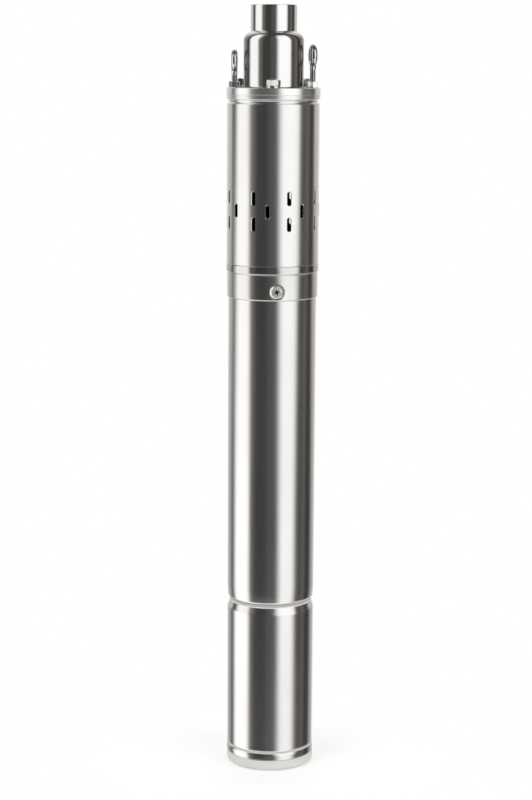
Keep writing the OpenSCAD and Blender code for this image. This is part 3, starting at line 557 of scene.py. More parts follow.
def metal(name, colour, rough, lines=3000.0, depth=0.000002, wander=0.3, haze=18.0, dulled=0.96,
          inside=None, zone=None, edge=None, metallic=1.0):
    look = metalLook
    material, tree, shader = startMaterial(name)
    hazed = placeGroup(tree, polishHaze, {"Scale": haze, "Low": rough[0], "High": rough[1]})
    marks = placeGroup(tree, hairScratches, {"Amount": look["scratches"]})["Mask"]
    base = mixColours(tree, hazed["Patch"], shade(colour, 1), shade(colour, dulled))
    roughness = mathNode(tree, "ADD", hazed["Roughness"],
                         mathNode(tree, "MULTIPLY", marks, look["scratchRough"]))
    if inside:
        # inside a radius, the inner face of a tube or a recess is made rougher and painted near black:
        # painted shade where little light gets in
        level = addNode(tree, "ShaderNodeVectorMath", {0: objectPlace(tree), 1: (1, 1, 0)},
                        operation="MULTIPLY")
        radius = addNode(tree, "ShaderNodeVectorMath", {0: level.outputs["Vector"]}, operation="LENGTH")
        innerShadeShare = rangeNode(tree, radius.outputs["Value"], inside[1] * mm, inside[0] * mm)
        base = mixColours(tree, innerShadeShare, base, look["paintedInnerShade"])
        roughness = mathNode(tree, "ADD", roughness,
                             mathNode(tree, "MULTIPLY", innerShadeShare, look["innerRough"]))
    if edge:
        # painted reflection: darker where the surface faces sideways to the eye, up to one height,
        # standing in for the dark studio that the polish mirrors there
        facing = addNode(tree, "ShaderNodeLayerWeight", {"Blend": 0.5}).outputs["Facing"]
        darkReflectionShare = rangeNode(tree, facing, *edge["from"])
        top = edge["upTo"] * mm
        below = rangeNode(tree, objectHeight(tree), top, top - look["darkReflectionBlend"])
        base = mixColours(tree, mathNode(tree, "MULTIPLY", darkReflectionShare, below), base,
                          shade(colour, edge["share"]))
    shader.inputs["Metallic"].default_value = metallic
    if zone:
        # another finish above one height
        low = zone["from"] * mm
        above = rangeNode(tree, objectHeight(tree), low, low + look["zoneBlend"])
        base = mixColours(tree, above, base, shade(zone["colour"], 1))
        roughness = rangeNode(tree, above, 0.0, 1.0, roughness, zone["rough"])
        if "metallic" in zone:
            tree.links.new(rangeNode(tree, above, 0.0, 1.0, metallic, zone["metallic"]),
                           shader.inputs["Metallic"])
    tree.links.new(base, shader.inputs["Base Color"])
    tree.links.new(roughness, shader.inputs["Roughness"])
    grooves = placeGroup(tree, turnedLines, {"Lines per metre": lines, "Wander": wander})["Height"]
    relief = mathNode(tree, "SUBTRACT", grooves, marks)
    bump = addNode(tree, "ShaderNodeBump", {"Height": relief, "Strength": 1.0, "Distance": depth})
    tree.links.new(bump.outputs[0], shader.inputs["Normal"])
    return material


def dull(name, colour, rough, grain=900.0, pits=0.3, depth=0.00002, darker=0.8, haze=40.0):
    material, tree, shader = startMaterial(name)
    surface = placeGroup(tree, fineGrain, {"Scale": grain, "Pits": pits})
    hazed = placeGroup(tree, polishHaze, {"Scale": haze, "Low": rough[0], "High": rough[1]})
    tree.links.new(mixColours(tree, surface["Tone"], shade(colour, 1), shade(colour, darker)),
                   shader.inputs["Base Color"])
    tree.links.new(hazed["Roughness"], shader.inputs["Roughness"])
    bump = addNode(tree, "ShaderNodeBump", {
        "Height": surface["Height"], "Strength": 1.0, "Distance": depth})
    tree.links.new(bump.outputs[0], shader.inputs["Normal"])
    return material


stainless = (0.80, 0.795, 0.785)
bright = (0.82, 0.815, 0.80)
finishes = {
    "polishedTube": metal("polishedTube", stainless, (0.17, 0.23), lines=5200.0, depth=0.0000012),
    # strainerTube's inside range lays near-black painted shade on the casing's inner face, seen through
    # the slots
    "strainerTube": metal("strainerTube", stainless, (0.17, 0.23), lines=5200.0, depth=0.0000012,
                          inside=(36.52, 36.64),
                          zone={"from": 560.3, "colour": stainless, "rough": 0.27, "metallic": 0.94}),
    "shellTube": metal("shellTube", stainless, (0.17, 0.23), lines=5200.0, depth=0.0000012,
                       zone={"from": 141.0, "colour": stainless, "rough": 0.5, "metallic": 0.35}),
    # polishedHead's edge setting paints a dark painted reflection where the neck's sides face sideways
    # to the eye
    "polishedHead": metal("polishedHead", stainless, (0.11, 0.16), lines=4200.0, depth=0.0000010,
                          edge={"from": (0.40, 0.52), "share": 0.32, "upTo": 613}),
    "flangeRing": metal("flangeRing", (0.87, 0.865, 0.855), (0.19, 0.26), lines=3600.0,
                        depth=0.0000020, metallic=0.95),
    "turnedSleeve": metal("turnedSleeve", (0.79, 0.785, 0.77), (0.18, 0.24), lines=1300.0,
                          depth=0.0000070, wander=0.15, haze=45.0, dulled=0.91,
                          zone={"from": 420.2, "colour": (0.67, 0.665, 0.655), "rough": 0.10}),
    "brightBead": metal("brightBead", stainless, (0.17, 0.22), lines=2600.0, depth=0.0000015,
                        zone={"from": 14.7, "colour": (0.60, 0.60, 0.585), "rough": 0.5,
                              "metallic": 0.1}),
    # plugSteel's inside range lays painted shade in the walls of the cross recess
    "plugSteel": metal("plugSteel", bright, (0.16, 0.23), lines=2200.0, haze=90.0, metallic=0.82,
                       inside=(37.25, 37.55)),
    "fastenerSteel": metal("fastenerSteel", bright, (0.12, 0.20), lines=2200.0, haze=90.0),
    # eyeSteel's edge setting paints a dark painted reflection where the eye's wire faces sideways to the
    # eye
    "eyeSteel": metal("eyeSteel", (0.74, 0.735, 0.72), (0.08, 0.13), lines=2200.0, haze=90.0,
                      edge={"from": (0.25, 0.60), "share": 0.25, "upTo": 640}),
    "collarSteel": metal("collarSteel", (0.50, 0.485, 0.47), (0.45, 0.55), lines=2600.0, metallic=0.2),
    # painted shade: the stator tube is coloured dark to stand in for the shade inside the casing behind
    # the slots
    "paintedShadeTube": metal("paintedShadeTube", (0.16, 0.155, 0.15), (0.42, 0.55), lines=2400.0,
                        depth=0.000004, haze=30.0),
    "glandSteel": metal("glandSteel", (0.66, 0.63, 0.57), (0.20, 0.28), lines=2600.0, haze=80.0),
    "shaftSteel": metal("shaftSteel", (0.70, 0.70, 0.70), (0.20, 0.28), lines=4000.0),
    "flexSteel": metal("flexSteel", (0.42, 0.44, 0.47), (0.26, 0.34), lines=4000.0),
    "screwChrome": metal("screwChrome", (0.80, 0.80, 0.80), (0.07, 0.12)),
    "bearingSteel": metal("bearingSteel", (0.76, 0.76, 0.76), (0.10, 0.15), lines=6000.0),
    "coreSteel": metal("coreSteel", (0.30, 0.31, 0.33), (0.38, 0.48), lines=2000.0, depth=0.00005,
                       wander=0.02),
    "cageBrass": metal("cageBrass", (0.74, 0.56, 0.27), (0.24, 0.32)),
    "terminalBrass": metal("terminalBrass", (0.80, 0.70, 0.46), (0.20, 0.28)),
    "copperWire": metal("copperWire", (0.66, 0.30, 0.13), (0.28, 0.36), lines=1300.0, depth=0.0004,
                        wander=3.0),
    "castAluminium": metal("castAluminium", (0.72, 0.72, 0.72), (0.34, 0.45), lines=700.0),
    "footGrey": dull("footGrey", (0.66, 0.66, 0.645), (0.42, 0.54), grain=1400.0, pits=0.15,
                     depth=0.000012, darker=0.93),
    "blackRubber": dull("blackRubber", (0.022, 0.022, 0.022), (0.50, 0.62), grain=1500.0),
    "statorRubber": dull("statorRubber", (0.035, 0.034, 0.033), (0.42, 0.52), grain=1200.0),
    "sealCeramic": dull("sealCeramic", (0.86, 0.84, 0.78), (0.16, 0.22), grain=2500.0,
                        depth=0.000004, darker=0.95),
    "sealCarbon": dull("sealCarbon", (0.055, 0.056, 0.06), (0.30, 0.38), grain=2500.0, depth=0.000008),
    "capacitorCase": dull("capacitorCase", (0.82, 0.82, 0.80), (0.30, 0.40), grain=1800.0,
                          depth=0.00001, darker=0.96),
}
print("finishes made:", len(finishes))

slotFinish = {
    "polished_stainless": "polishedTube", "turned_stainless": "turnedSleeve",
    "bright_fasteners": "fastenerSteel", "gland_steel": "glandSteel", "black_rubber": "blackRubber",
    "stator_rubber": "statorRubber", "matte_foot": "footGrey", "bearing_steel": "bearingSteel",
    "cage_brass": "cageBrass", "core_steel": "coreSteel", "copper_windings": "copperWire",
    "cast_aluminium": "castAluminium", "shaft_steel": "shaftSteel", "flex_steel": "flexSteel",
    "screw_chrome": "screwChrome", "seal_ceramic": "sealCeramic", "seal_carbon": "sealCarbon",
    "capacitor_case": "capacitorCase", "terminal_brass": "terminalBrass",
}
# The tube behind the slots is coloured dark as painted shade for the inside of the casing seen through
# the slots, and the bracket's collar in the groove between the two tubes is a plain machined ring
nodeFinish = {"stator_tube": "paintedShadeTube", "lower_bracket": "collarSteel"}


def dressNodes():
    for subpart in frame["record"]["subparts"]:
        mesh = nodes[subpart["node"]].data
        finish = finishes[nodeFinish.get(subpart["node"], slotFinish[subpart["material_slot"]])]
        mesh.materials.clear()
        mesh.materials.append(finish)


dressNodes()
print("nodes dressed")

# Outlet head: pressed neck with a rounded shoulder, and the threaded outlet socket
outletHead = {
    "foot": 570.05, "neck": 24.5, "bore": 22.2, "boreEdge": 0.3, "footFillet": 1.0,
    "shoulder": 8.0, "shoulderZ": 607, "roof": 5.7, "roofX": 16.5, "roofEdge": 0.6,
    "socket": 19.0, "socketFillet": 1.6, "top": 636, "rim": 0.5, "rimInside": 0.25,
    "passage": 14.525, "passageEdge": 0.4, "threadFrom": 618, "threadWall": 16.625,
    "threadCrest": 15.2, "threadEdge": 0.2, "threadGaps": (0.6, 0.3), "pitch": 2.309, "lead": 1.0,
}


def makeOutletHead(s):
    filletX = s["socket"] + s["socketFillet"]
    reach = s["shoulder"] + s["socketFillet"]
    filletZ = s["shoulderZ"] + math.sqrt(reach ** 2 - (filletX - s["roofX"]) ** 2)
    meet = math.degrees(math.acos((filletX - s["roofX"]) / reach))
    footX, footZ = s["neck"] + s["footFillet"], s["foot"] + s["footFillet"]
    corners = [
        (s["bore"], s["foot"], s["boreEdge"], 2),
        (footX, s["foot"]),
        *arc(footX, footZ, s["footFillet"], -110, -180, 6),
        *arc(s["roofX"], s["shoulderZ"], s["shoulder"], 0, meet, 14),
        *arc(filletX, filletZ, s["socketFillet"], 180 + meet, 180, 8)[1:],
        (s["socket"], s["top"], s["rim"]),
        (s["threadWall"] + s["lead"], s["top"], s["rimInside"], 3),
        (s["threadWall"], s["top"] - s["lead"], s["threadEdge"], 2),
        (s["threadWall"], s["threadFrom"]),
        (s["passage"], s["threadFrom"], s["passageEdge"], 3),
        (s["passage"], s["shoulderZ"] + s["roof"], s["roofEdge"], 3),
        *arc(s["roofX"], s["shoulderZ"], s["roof"], 90, 0, 8),
    ]
    head = turn("outletHead", corners)
    lowGap, highGap = s["threadGaps"]
    ridge = threadRidge("outletThread", s["threadWall"], s["threadCrest"], s["pitch"],
                        s["threadFrom"] + lowGap, s["top"] - highGap, steps=96)
    joinInto(head, ridge)
    smooth(head)
    settle(head, finishes["polishedHead"], "polished_stainless", "outlet_head")


makeOutletHead(outletHead)

# Head flange: a turned ring with a broken edge and a fine line where it meets the casing's rim
headFlange = {"bore": 22.2, "outside": 38.6, "low": 564.5, "high": 570, "edge": 0.7, "seam": 0.18}


def makeHeadFlange(s):
    flange = turn("headFlange", [
        (s["bore"], s["low"]), (s["outside"], s["low"], s["seam"], 3),
        (s["outside"], s["high"], s["edge"], 4), (s["bore"], s["high"])])
    smooth(flange)
    settle(flange, finishes["flangeRing"], "polished_stainless", "head_flange")


makeHeadFlange(headFlange)
print("outlet head made")

# Strainer casing: thin tube with a rolled groove under its rim and three rows of punched slots
strainerCasing = {
    "outside": 38.0, "wall": 1.5, "low": 427, "lowEdge": 0.25, "high": 564.5, "topEdge": 0.2,
    "rimHeight": 3.9, "rimProud": 0.2, "rimStep": 0.5, "rimFillet": 0.4,
    "grooveZ": 558.85, "grooveDepth": 1.3, "grooveHalf": 1.75, "grooveEdge": 0.7,
    "slotWidth": 3.2, "slotLength": 11, "slotGroups": 8, "firstPair": -24.5, "stagger": 18,
    "middleRow": 471.5, "rowPitch": 10.4, "slotEdge": 0.36, "cutDepth": 9,
    "columns": 232, "ringsFrom": 452, "rings": 19, "ringStep": 2.15,
}


def makeSlotCutters(s):
    deselectAll()
    bpy.ops.mesh.primitive_cylinder_add(vertices=32, radius=s["slotWidth"] / 2 * mm,
                                        depth=s["cutDepth"] * mm, rotation=(0, 0, math.pi / 32))
    first = bpy.context.object
    first.name = "slotCutter"
    applyPlace(first)
    first.rotation_euler = (math.pi / 2, 0, 0)
    applyPlace(first)
    straight = (s["slotLength"] - s["slotWidth"]) / 2 * mm
    for side in (1, -1):
        selectVertices(first, lambda co: co.z * side > 0)
        bpy.ops.transform.translate(value=(0, 0, side * straight))
        doneEditing()
    cutters = []
    for group in range(s["slotGroups"]):
        pair = s["firstPair"] + group * 360 / s["slotGroups"]
        for angle, row in ((pair, -1), (pair, 1), (pair + s["stagger"], 0)):
            place = around(s["outside"] - s["wall"] / 2, angle, s["middleRow"] + row * s["rowPitch"])
            cutters.append(copyTo(first, "slotCutter", place))
    bpy.data.objects.remove(first, do_unlink=True)
    return joinInto(*cutters)


def makeStrainerCasing(s):
    out, inside = s["outside"], s["outside"] - s["wall"]
    curve = (s["grooveHalf"] ** 2 + s["grooveDepth"] ** 2) / (2 * s["grooveDepth"])
    centre = out - s["grooveDepth"] + curve
    swing = math.degrees(math.asin(s["grooveHalf"] / curve))
    groove = arc(centre, s["grooveZ"], curve, 180 + swing, 180 - swing, 12)
    # rings of faces where the slots are cut, so that their edges shade well
    rings = [s["ringsFrom"] + s["ringStep"] * i for i in range(s["rings"])]
    corners = [
        (inside, s["low"]), (out, s["low"], s["lowEdge"], 3),
        *[(out, z) for z in rings],
        (*groove[0], s["grooveEdge"], 4), *groove[1:-1], (*groove[-1], s["grooveEdge"], 4),
        (out + s["rimProud"], s["high"] - s["rimHeight"] + s["rimStep"], s["rimFillet"], 3),
        (out + s["rimProud"], s["high"], s["topEdge"], 3), (inside, s["high"]),
        *[(inside, z) for z in reversed(rings)],
    ]
    casing = turn("strainerCasing", corners, s["columns"])
    combine(casing, makeSlotCutters(s))
    breakEdges(casing, s["slotEdge"], angle=60, segments=1)
    smooth(casing)
    settle(casing, finishes["strainerTube"], "polished_stainless", "strainer_casing")


makeStrainerCasing(strainerCasing)
print("strainer casing made")

# Connecting body: turned sleeve, the wider band above it and the seat of the oil plug
connectingBody = {
    "spigot": 34.95, "spigotLow": 387.5, "spigotEdge": 0.4, "sleeve": 37.5, "sleeveLow": 399,
    "sleeveRound": 1.3, "relief": 0.45, "reliefEdge": 0.3, "band": 38.3, "bandLow": 420.5,
    "bandHigh": 427, "bandRound": (0.8, 0.6), "topSpigot": 36.45, "top": 433, "topEdge": 0.5,
    "pit": 23, "pitFloor": 424, "shaftHole": 6.5, "chamber": 23, "web": 416,
    "plugAngle": 5.6, "plugZ": 406.5, "plugSeat": 35.3, "plugPocket": 6.35, "pocketDepth": 8,
    "pocketEdge": 0.2,
}


def makeConnectingBody(s):
    neck = s["sleeve"] - s["relief"]
    lowRound, highRound = s["bandRound"]
    body = turn("connectingBody", [
        (s["chamber"], s["spigotLow"]), (s["spigot"], s["spigotLow"], s["spigotEdge"], 2),
        (s["spigot"], s["sleeveLow"]), (s["sleeve"], s["sleeveLow"], s["sleeveRound"], 6),
        (s["sleeve"], s["bandLow"] - 2 * s["relief"], s["reliefEdge"], 3),
        (neck, s["bandLow"] - s["relief"]), (neck, s["bandLow"]),
        (s["band"], s["bandLow"], lowRound, 6), (s["band"], s["bandHigh"], highRound, 5),
        (s["topSpigot"], s["bandHigh"]), (s["topSpigot"], s["top"], s["topEdge"], 3),
        (s["pit"], s["top"], s["topEdge"], 3), (s["pit"], s["pitFloor"]),
        (s["shaftHole"], s["pitFloor"]), (s["shaftHole"], s["web"]), (s["chamber"], s["web"])])
    deselectAll()
    bpy.ops.mesh.primitive_cylinder_add(vertices=64, radius=s["plugPocket"] * mm,
                                        depth=s["pocketDepth"] * mm, rotation=(math.pi / 2, 0, 0))
    pocket = bpy.context.object
    applyPlace(pocket)
    pocket.data.transform(around(s["plugSeat"] + s["pocketDepth"] / 2, s["plugAngle"], s["plugZ"]))
    combine(body, pocket)
    breakEdges(body, s["pocketEdge"], angle=55)
    smooth(body)
    settle(body, finishes["turnedSleeve"], "turned_stainless", "connecting_body")


makeConnectingBody(connectingBody)

# Oil plug: pan head with a cross recess, on its sealing washer
oilPlug = {
    "angle": 5.6, "z": 406.5, "seat": 35.3, "washer": 6.25, "washerBore": 4.0, "washerThick": 1.0,
    "shank": 3.9, "shankLength": 6, "head": 5.7, "headHeight": 2.1, "chamfer": 1.25, "crown": 0.06,
    "edge": 0.25, "underEdge": 0.2, "recessLength": 6.4, "recessWidth": 1.7, "recessDepth": 2.0,
    "recessTaper": (0.4, 0.6, 1), "recessTurn": 22,
}


def placeOnPlugAxis(s):
    return around(0, s["angle"], s["z"]) @ Matrix.Rotation(math.pi / 2, 4, "X")


def makeOilPlug(s):
    low = s["seat"] + s["washerThick"]
    high = low + s["headHeight"]
    tip = low - s["shankLength"]
    plug = turn("oilPlug", [
        (0, tip), (s["shank"], tip), (s["shank"], low), (s["head"], low, s["underEdge"], 3),
        (s["head"], high - s["chamfer"], s["edge"], 4), (s["head"] - s["chamfer"], high, s["edge"], 4),
        (0, high + s["crown"])], steps=96)
    for quarter in (0, 90):
        deselectAll()
        bpy.ops.mesh.primitive_cube_add(size=1, location=(0, 0, high * mm))
        blade = bpy.context.object
        blade.scale = (s["recessLength"] * mm, s["recessWidth"] * mm, 2 * s["recessDepth"] * mm)
        applyPlace(blade)
        selectVertices(blade, lambda co: co.z < high * mm)
        bpy.ops.transform.resize(value=s["recessTaper"], center_override=(0, 0, high * mm))
        doneEditing()
        blade.data.transform(Matrix.Rotation(math.radians(s["recessTurn"] + quarter), 4, "Z"))
        combine(plug, blade)
    smooth(plug)
    plug.data.transform(placeOnPlugAxis(s))
    settle(plug, finishes["plugSteel"], "bright_fasteners", "oil_plug")
    washer = turn("oilPlugWasher", [
        (s["washerBore"], s["seat"]), (s["washer"], s["seat"], s["edge"], 3),
        (s["washer"], low, s["edge"], 3), (s["washerBore"], low)], steps=96)
    smooth(washer)
    washer.data.transform(placeOnPlugAxis(s))
    settle(washer, finishes["glandSteel"], "bright_fasteners", "oil_plug_washer")


makeOilPlug(oilPlug)
print("connecting body and oil plug made")

# Motor barrel and lower shell: thin tubes, rolled in at one end
motorBarrel = {"outside": 36.5, "wall": 1.5, "low": 144, "high": 399, "topEdge": 0.3, "roll": 2.5,
               "rollFrom": -4, "lean": 0.45, "leanHeight": 10.0, "leanSteps": 6}
lowerShell = {"outside": 36.5, "wall": 1.5, "low": 16, "high": 142, "opening": 30.5,
              "openingEdge": 0.3, "slopeHeight": 6.5, "slopeIn": 1.73, "bend": 3.0, "innerDrop": 0.25,
              "lip": 1.2, "lipShare": 0.7, "rollHeight": 1.8, "rollIn": 0.85}


def makeMotorBarrel(s):
    inside, centre, level = s["outside"] - s["wall"], s["outside"] - s["roll"], s["low"] + s["roll"]
    steps = [i / s["leanSteps"] for i in range(s["leanSteps"])]
    lean = [(s["outside"] - s["lean"] * u ** 2, level + s["leanHeight"] * (1 - u)) for u in steps]
    barrel = turn("motorBarrel", [
        (inside, s["high"]), (s["outside"], s["high"], s["topEdge"], 3), *lean,
        *arc(centre - s["lean"], level, s["roll"], s["rollFrom"], -90, 14),
        *arc(centre, level, s["roll"] - s["wall"], -90, 0, 6)])
    smooth(barrel)
    settle(barrel, finishes["polishedTube"], "polished_stainless", "motor_barrel")


def quarterTurn(steps=9):
    return [math.radians(90 * i / steps) for i in range(steps + 1)]


def makeLowerShell(s):
    out, inside = s["outside"], s["outside"] - s["wall"]
    bend, under = s["high"] - s["slopeHeight"], s["high"] - s["wall"]
    lean = s["slopeIn"] / (s["slopeHeight"] - s["lip"] * s["lipShare"])
    roll = [(out - s["rollIn"] * (1 - math.cos(a)), s["low"] + s["rollHeight"] * (1 - math.sin(a)))
            for a in reversed(quarterTurn())]
    shell = turn("lowerShell", [
        (inside, s["low"]), *roll, (out, bend, s["bend"], 6),
        (out - lean * s["slopeHeight"], s["high"], s["lip"], 7),
        (s["opening"], s["high"], s["openingEdge"], 3), (s["opening"], under),
        (inside - lean * (under - bend), under), (inside, bend - s["innerDrop"])])
    smooth(shell)
    settle(shell, finishes["shellTube"], "polished_stainless", "lower_shell")


makeMotorBarrel(motorBarrel)
makeLowerShell(lowerShell)
print("motor barrel and lower shell made")

# Bottom cover with its bright bead, and the matte foot pad under it
bottomCover = {"foot": 8.6, "bead": 36.8, "beadHeight": 7.0, "beadRound": 3.4, "beadFoot": 0.6,
               "beadEdge": 0.45, "neck": 36.0, "notch": 35.5, "shell": 16, "spigot": 34.95,
               "spigotTop": 26, "spigotEdge": 0.5, "spigotInside": 30, "inside": 12}
footPad = {"outside": 36.6, "height": 8.6, "fillet": 2.8, "topEdge": 0.3, "edge": 0.2,
           "screwCircle": 24.5, "screwAngles": (60, 180, 300), "headRadius": 4.05,
           "shankRadius": 2.05, "sink": 1.0, "cone": 2.0, "past": 1}


def makeBottomCover(s):
    top = s["foot"] + s["beadHeight"]
    low = s["foot"] + s["beadFoot"]
    crest = [(s["notch"] + (s["bead"] - s["notch"]) * math.cos(a),
              top - s["beadRound"] * (1 - math.sin(a))) for a in quarterTurn()]
    cover = turn("bottomCover", [
        (s["inside"], s["foot"]), (s["neck"], s["foot"]), (s["neck"], low),
        (s["bead"], low, s["beadEdge"], 4), *crest, (s["notch"], s["shell"]),
        (s["spigot"], s["shell"]), (s["spigot"], s["spigotTop"], s["spigotEdge"], 3),
        (s["spigotInside"], s["spigotTop"]), (s["spigotInside"], s["shell"]),
        (s["inside"], s["shell"])])
    smooth(cover)
    settle(cover, finishes["brightBead"], "polished_stainless", "bottom_cover")


def makeFootPad(s):
    pad = turn("footPad", [
        (0, 0), (s["outside"], 0, s["fillet"], 8), (s["outside"], s["height"], s["topEdge"], 3),
        (0, s["height"])], steps=224)
    top = s["height"] + s["past"]
    for angle in s["screwAngles"]:
        hole = turn("screwHole", [
            (0, -s["past"]), (s["headRadius"], -s["past"]), (s["headRadius"], s["sink"]),
            (s["shankRadius"], s["sink"] + s["cone"]), (s["shankRadius"], top), (0, top)], steps=48)
        hole.data.transform(around(s["screwCircle"], angle))
        combine(pad, hole)
    breakEdges(pad, s["edge"], angle=60)
    smooth(pad)
    settle(pad, finishes["footGrey"], "matte_foot", "foot_pad")


makeBottomCover(bottomCover)
makeFootPad(footPad)
print("foot made")

# Hexagon nuts, chamfered and countersunk at both ends
hexShape = {"cornerBevel": 0.18, "chamfer": 0.95, "chamferAngle": 30, "spare": 0.1, "past": 0.5,
            "sink": 0.45, "sinkPast": 1}


def hexNut(name, flats, height, bore, chamfer=hexShape["chamfer"]):
    s = hexShape
    corner = flats / 2 / math.cos(math.pi / 6)
    deselectAll()
    bpy.ops.mesh.primitive_cylinder_add(vertices=6, radius=corner * mm, depth=height * mm,
                                        location=(0, 0, height / 2 * mm), rotation=(0, 0, math.pi / 6))
    nut = bpy.context.object
    nut.name = nut.data.name = name
    applyPlace(nut)
    selectEdges(nut, lambda a, b: abs(a.z - b.z) > 0.5 * height * mm)
    bpy.ops.mesh.bevel(offset=s["cornerBevel"] * mm, segments=3, affect="EDGES")
    doneEditing()
    face = chamfer * flats / 2
    rise = math.tan(math.radians(s["chamferAngle"]))
    reach = corner + s["spare"]
    slope = (reach - face) * rise
    tip = face - s["past"] / rise
    low, high = -s["past"], height + s["past"]
    outside = turn("nutChamfer", [
        (0, low), (tip, low), (reach, slope), (reach, height - slope), (tip, high), (0, high)], steps=96)
    combine(nut, outside, "INTERSECT")
    mouth = bore + s["sink"] + s["sinkPast"]
    low, high = -s["sinkPast"], height + s["sinkPast"]
    combine(nut, turn("nutBore", [
        (0, low), (mouth, low), (bore, s["sink"]), (bore, height - s["sink"]), (mouth, high),
        (0, high)], steps=64))
    smooth(nut, angle=20)
    return nut


def placeCopies(first, name, matrices, node):
    copies = [copyTo(first, f"{name}Copy", matrix) for matrix in matrices]
    bpy.data.objects.remove(first, do_unlink=True)
    piece = joinInto(*copies)
    piece.name = piece.data.name = name
    settle(piece, finishes["fastenerSteel"], "bright_fasteners", node)


def threadedRod(name, core, crest, pitch, low, high):
    edge, spare = 0.1, 0.2
    lead = (crest - core + spare) / 2
    rod = turn(name, [
        (0, low), (core, low), (core, high - lead, edge, 2), (core - lead, high, edge, 2), (0, high)],
        steps=64)
    return joinInto(rod, threadRidge(name + "Thread", core, crest, pitch, low, high, steps=48))


# Fasteners on the flange: three tie studs with nuts and washers, and two eye bolts with nuts
fasteners = {
    "flange": 570, "circle": 31.8, "studAngles": (0, 120, 240), "stud": 3.0, "studCore": 2.5,
    "studPitch": 1.0, "studLow": 566, "studTop": 576.9,
    "washer": 6.0, "washerBore": 3.3, "washerThick": 1.6, "washerEdges": (0.2, 0.25, 0.45),
    "nutFlats": 10, "nutHeight": 5, "nutTurn": 10, "boreGap": 0.05,
    "eyeNutFlats": 8, "eyeNutHeight": 4.7, "eyeNutTurns": {-90: 30, 90: 0},
}
eyeBolts = {
    "wire": 2.5, "wireCore": 2.06, "wirePitch": 0.8, "length": 39.95, "eye": 6.5,
    "throat": 6.4, "throatRound": 4, "flare": 1.5, "flareEdge": 0.3, "collar": 1.2, "collarEdge": 0.4,
    "overlap": 1.0, "pressed": 1.92, "pressSize": 40, "voxel": 0.25, "smoothing": 10,
    "bolts": [
        {"name": "leftEyeBolt", "node": "left_eye_bolt", "angle": -90, "top": 600.0, "turned": 0},
        {"name": "rightEyeBolt", "node": "right_eye_bolt", "angle": 90, "top": 604.5, "turned": 10},
    ],
}


def makeFlangeFasteners(s):
    places = [around(s["circle"], angle, s["flange"]) for angle in s["studAngles"]]
    stud = threadedRod("tieStud", s["studCore"], s["stud"], s["studPitch"], s["studLow"], s["studTop"])
    smooth(stud)
    placeCopies(stud, "tieStuds", [around(s["circle"], angle) for angle in s["studAngles"]], "tie_studs")
    fine, low, high = s["washerEdges"]
    washer = turn("tieWasher", [
        (s["washerBore"], 0, fine, 2), (s["washer"], 0, low, 2),
        (s["washer"], s["washerThick"], high, 4), (s["washerBore"], s["washerThick"], fine, 2)],
        steps=96)
    smooth(washer)
    placeCopies(washer, "tieWashers", places, "tie_washers")
    nut = hexNut("tieNut", s["nutFlats"], s["nutHeight"], s["stud"] + s["boreGap"])
    lift = Matrix.Translation((0, 0, s["washerThick"] * mm))
    lift = lift @ Matrix.Rotation(math.radians(s["nutTurn"]), 4, "Z")
    placeCopies(nut, "tieNuts", [place @ lift for place in places], "tie_nuts")
    eyeNut = hexNut("eyeNut", s["eyeNutFlats"], s["eyeNutHeight"], eyeBolts["wire"] + s["boreGap"])
    turned = [around(s["circle"], angle, s["flange"]) @ Matrix.Rotation(math.radians(twist), 4, "Z")
              for angle, twist in s["eyeNutTurns"].items()]
    placeCopies(eyeNut, "eyeBoltNuts", turned, "eye_bolt_nuts")


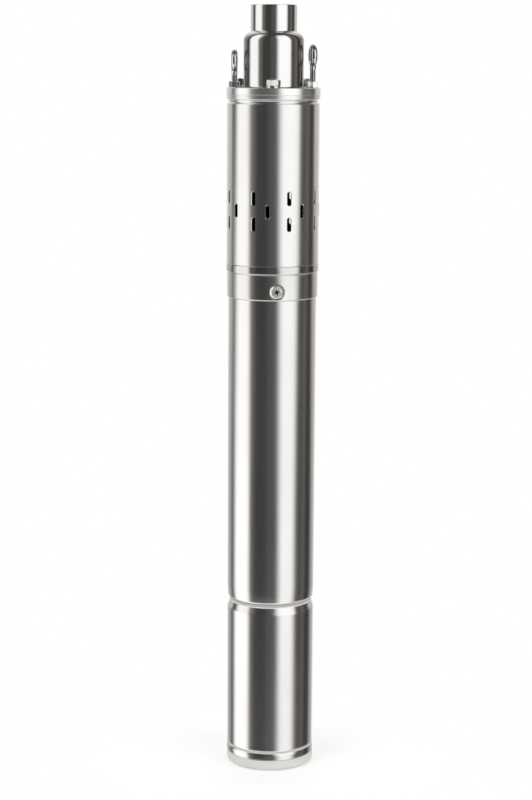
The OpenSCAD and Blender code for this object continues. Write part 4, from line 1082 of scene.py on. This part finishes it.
def makeEyeBolt(s, bolt):
    # forged eye on a flared throat, with a threaded shank below
    wire = s["wire"]
    eyeZ = bolt["top"] - s["eye"] - wire
    throatTop = eyeZ - s["eye"] + wire
    throatLow = throatTop - s["throat"]
    collarLow = throatLow - s["collar"]
    deselectAll()
    bpy.ops.mesh.primitive_torus_add(major_radius=s["eye"] * mm, minor_radius=wire * mm,
                                     major_segments=72, minor_segments=32,
                                     location=(0, 0, eyeZ * mm), rotation=(0, math.pi / 2, 0))
    eye = bpy.context.object
    eye.name = eye.data.name = bolt["name"]
    applyPlace(eye)
    throat = turn("eyeThroat", [
        (0, collarLow), (wire, collarLow, s["collarEdge"], 3), (wire, throatLow, s["throatRound"], 5),
        (wire * s["flare"], throatTop, s["flareEdge"], 3), (0, throatTop)], steps=64)
    deselectAll()
    bpy.ops.mesh.primitive_cube_add(size=1, location=(0, 0, throatLow * mm))
    press = bpy.context.object
    press.scale = (s["pressed"] * wire * mm, s["pressSize"] * mm, s["pressSize"] * mm)
    applyPlace(press)
    combine(throat, press, "INTERSECT")
    combine(eye, throat, "UNION")
    applyModifier(eye, "REMESH", mode="VOXEL", voxel_size=s["voxel"] * mm)
    applyModifier(eye, "SMOOTH", factor=0.5, iterations=s["smoothing"])
    shank = threadedRod("eyeShank", s["wireCore"], wire, s["wirePitch"], bolt["top"] - s["length"],
                        throatLow - s["overlap"])
    joinInto(eye, shank)
    smooth(eye, angle=40)
    upright = Matrix.Rotation(math.radians(bolt["turned"] - bolt["angle"]), 4, "Z")
    eye.data.transform(around(fasteners["circle"], bolt["angle"]) @ upright)
    settle(eye, finishes["eyeSteel"], "bright_fasteners", bolt["node"])


makeFlangeFasteners(fasteners)
for bolt in eyeBolts["bolts"]:
    makeEyeBolt(eyeBolts, bolt)
print("fasteners made")

# Cable gland behind the neck: hexagonal body, cap nut and rubber seal
cableGland = {
    "circle": 31.5, "angle": 180, "flange": 570, "flats": 12, "bodyHeight": 6, "bodyChamfer": 0.97,
    "bore": 4.8, "capHeight": 5, "capBore": 4.05, "capChamfer": 0.80, "seal": 4.75, "cable": 3.75,
    "sealLow": 564.55, "sealHigh": 579.75, "sealEdge": 0.2, "sealMouth": 0.6,
}


def makeCableGland(s):
    place = around(s["circle"], s["angle"], s["flange"])
    body = hexNut("cableGland", s["flats"], s["bodyHeight"], s["bore"], s["bodyChamfer"])
    body.data.transform(place)
    settle(body, finishes["glandSteel"], "gland_steel", "cable_gland")
    cap = hexNut("glandNut", s["flats"], s["capHeight"], s["capBore"], s["capChamfer"])
    cap.data.transform(place @ Matrix.Translation((0, 0, s["bodyHeight"] * mm)))
    settle(cap, finishes["glandSteel"], "gland_steel", "gland_nut")
    seal = turn("cableSeal", [
        (s["cable"], s["sealLow"], s["sealEdge"], 2), (s["seal"], s["sealLow"], s["sealEdge"], 2),
        (s["seal"], s["sealHigh"], s["sealEdge"], 2), (s["cable"], s["sealHigh"], s["sealMouth"], 4)],
        steps=64)
    smooth(seal)
    seal.data.transform(around(s["circle"], s["angle"]))
    settle(seal, finishes["blackRubber"], "black_rubber", "cable_seal")


makeCableGland(cableGland)
print("cable gland made")
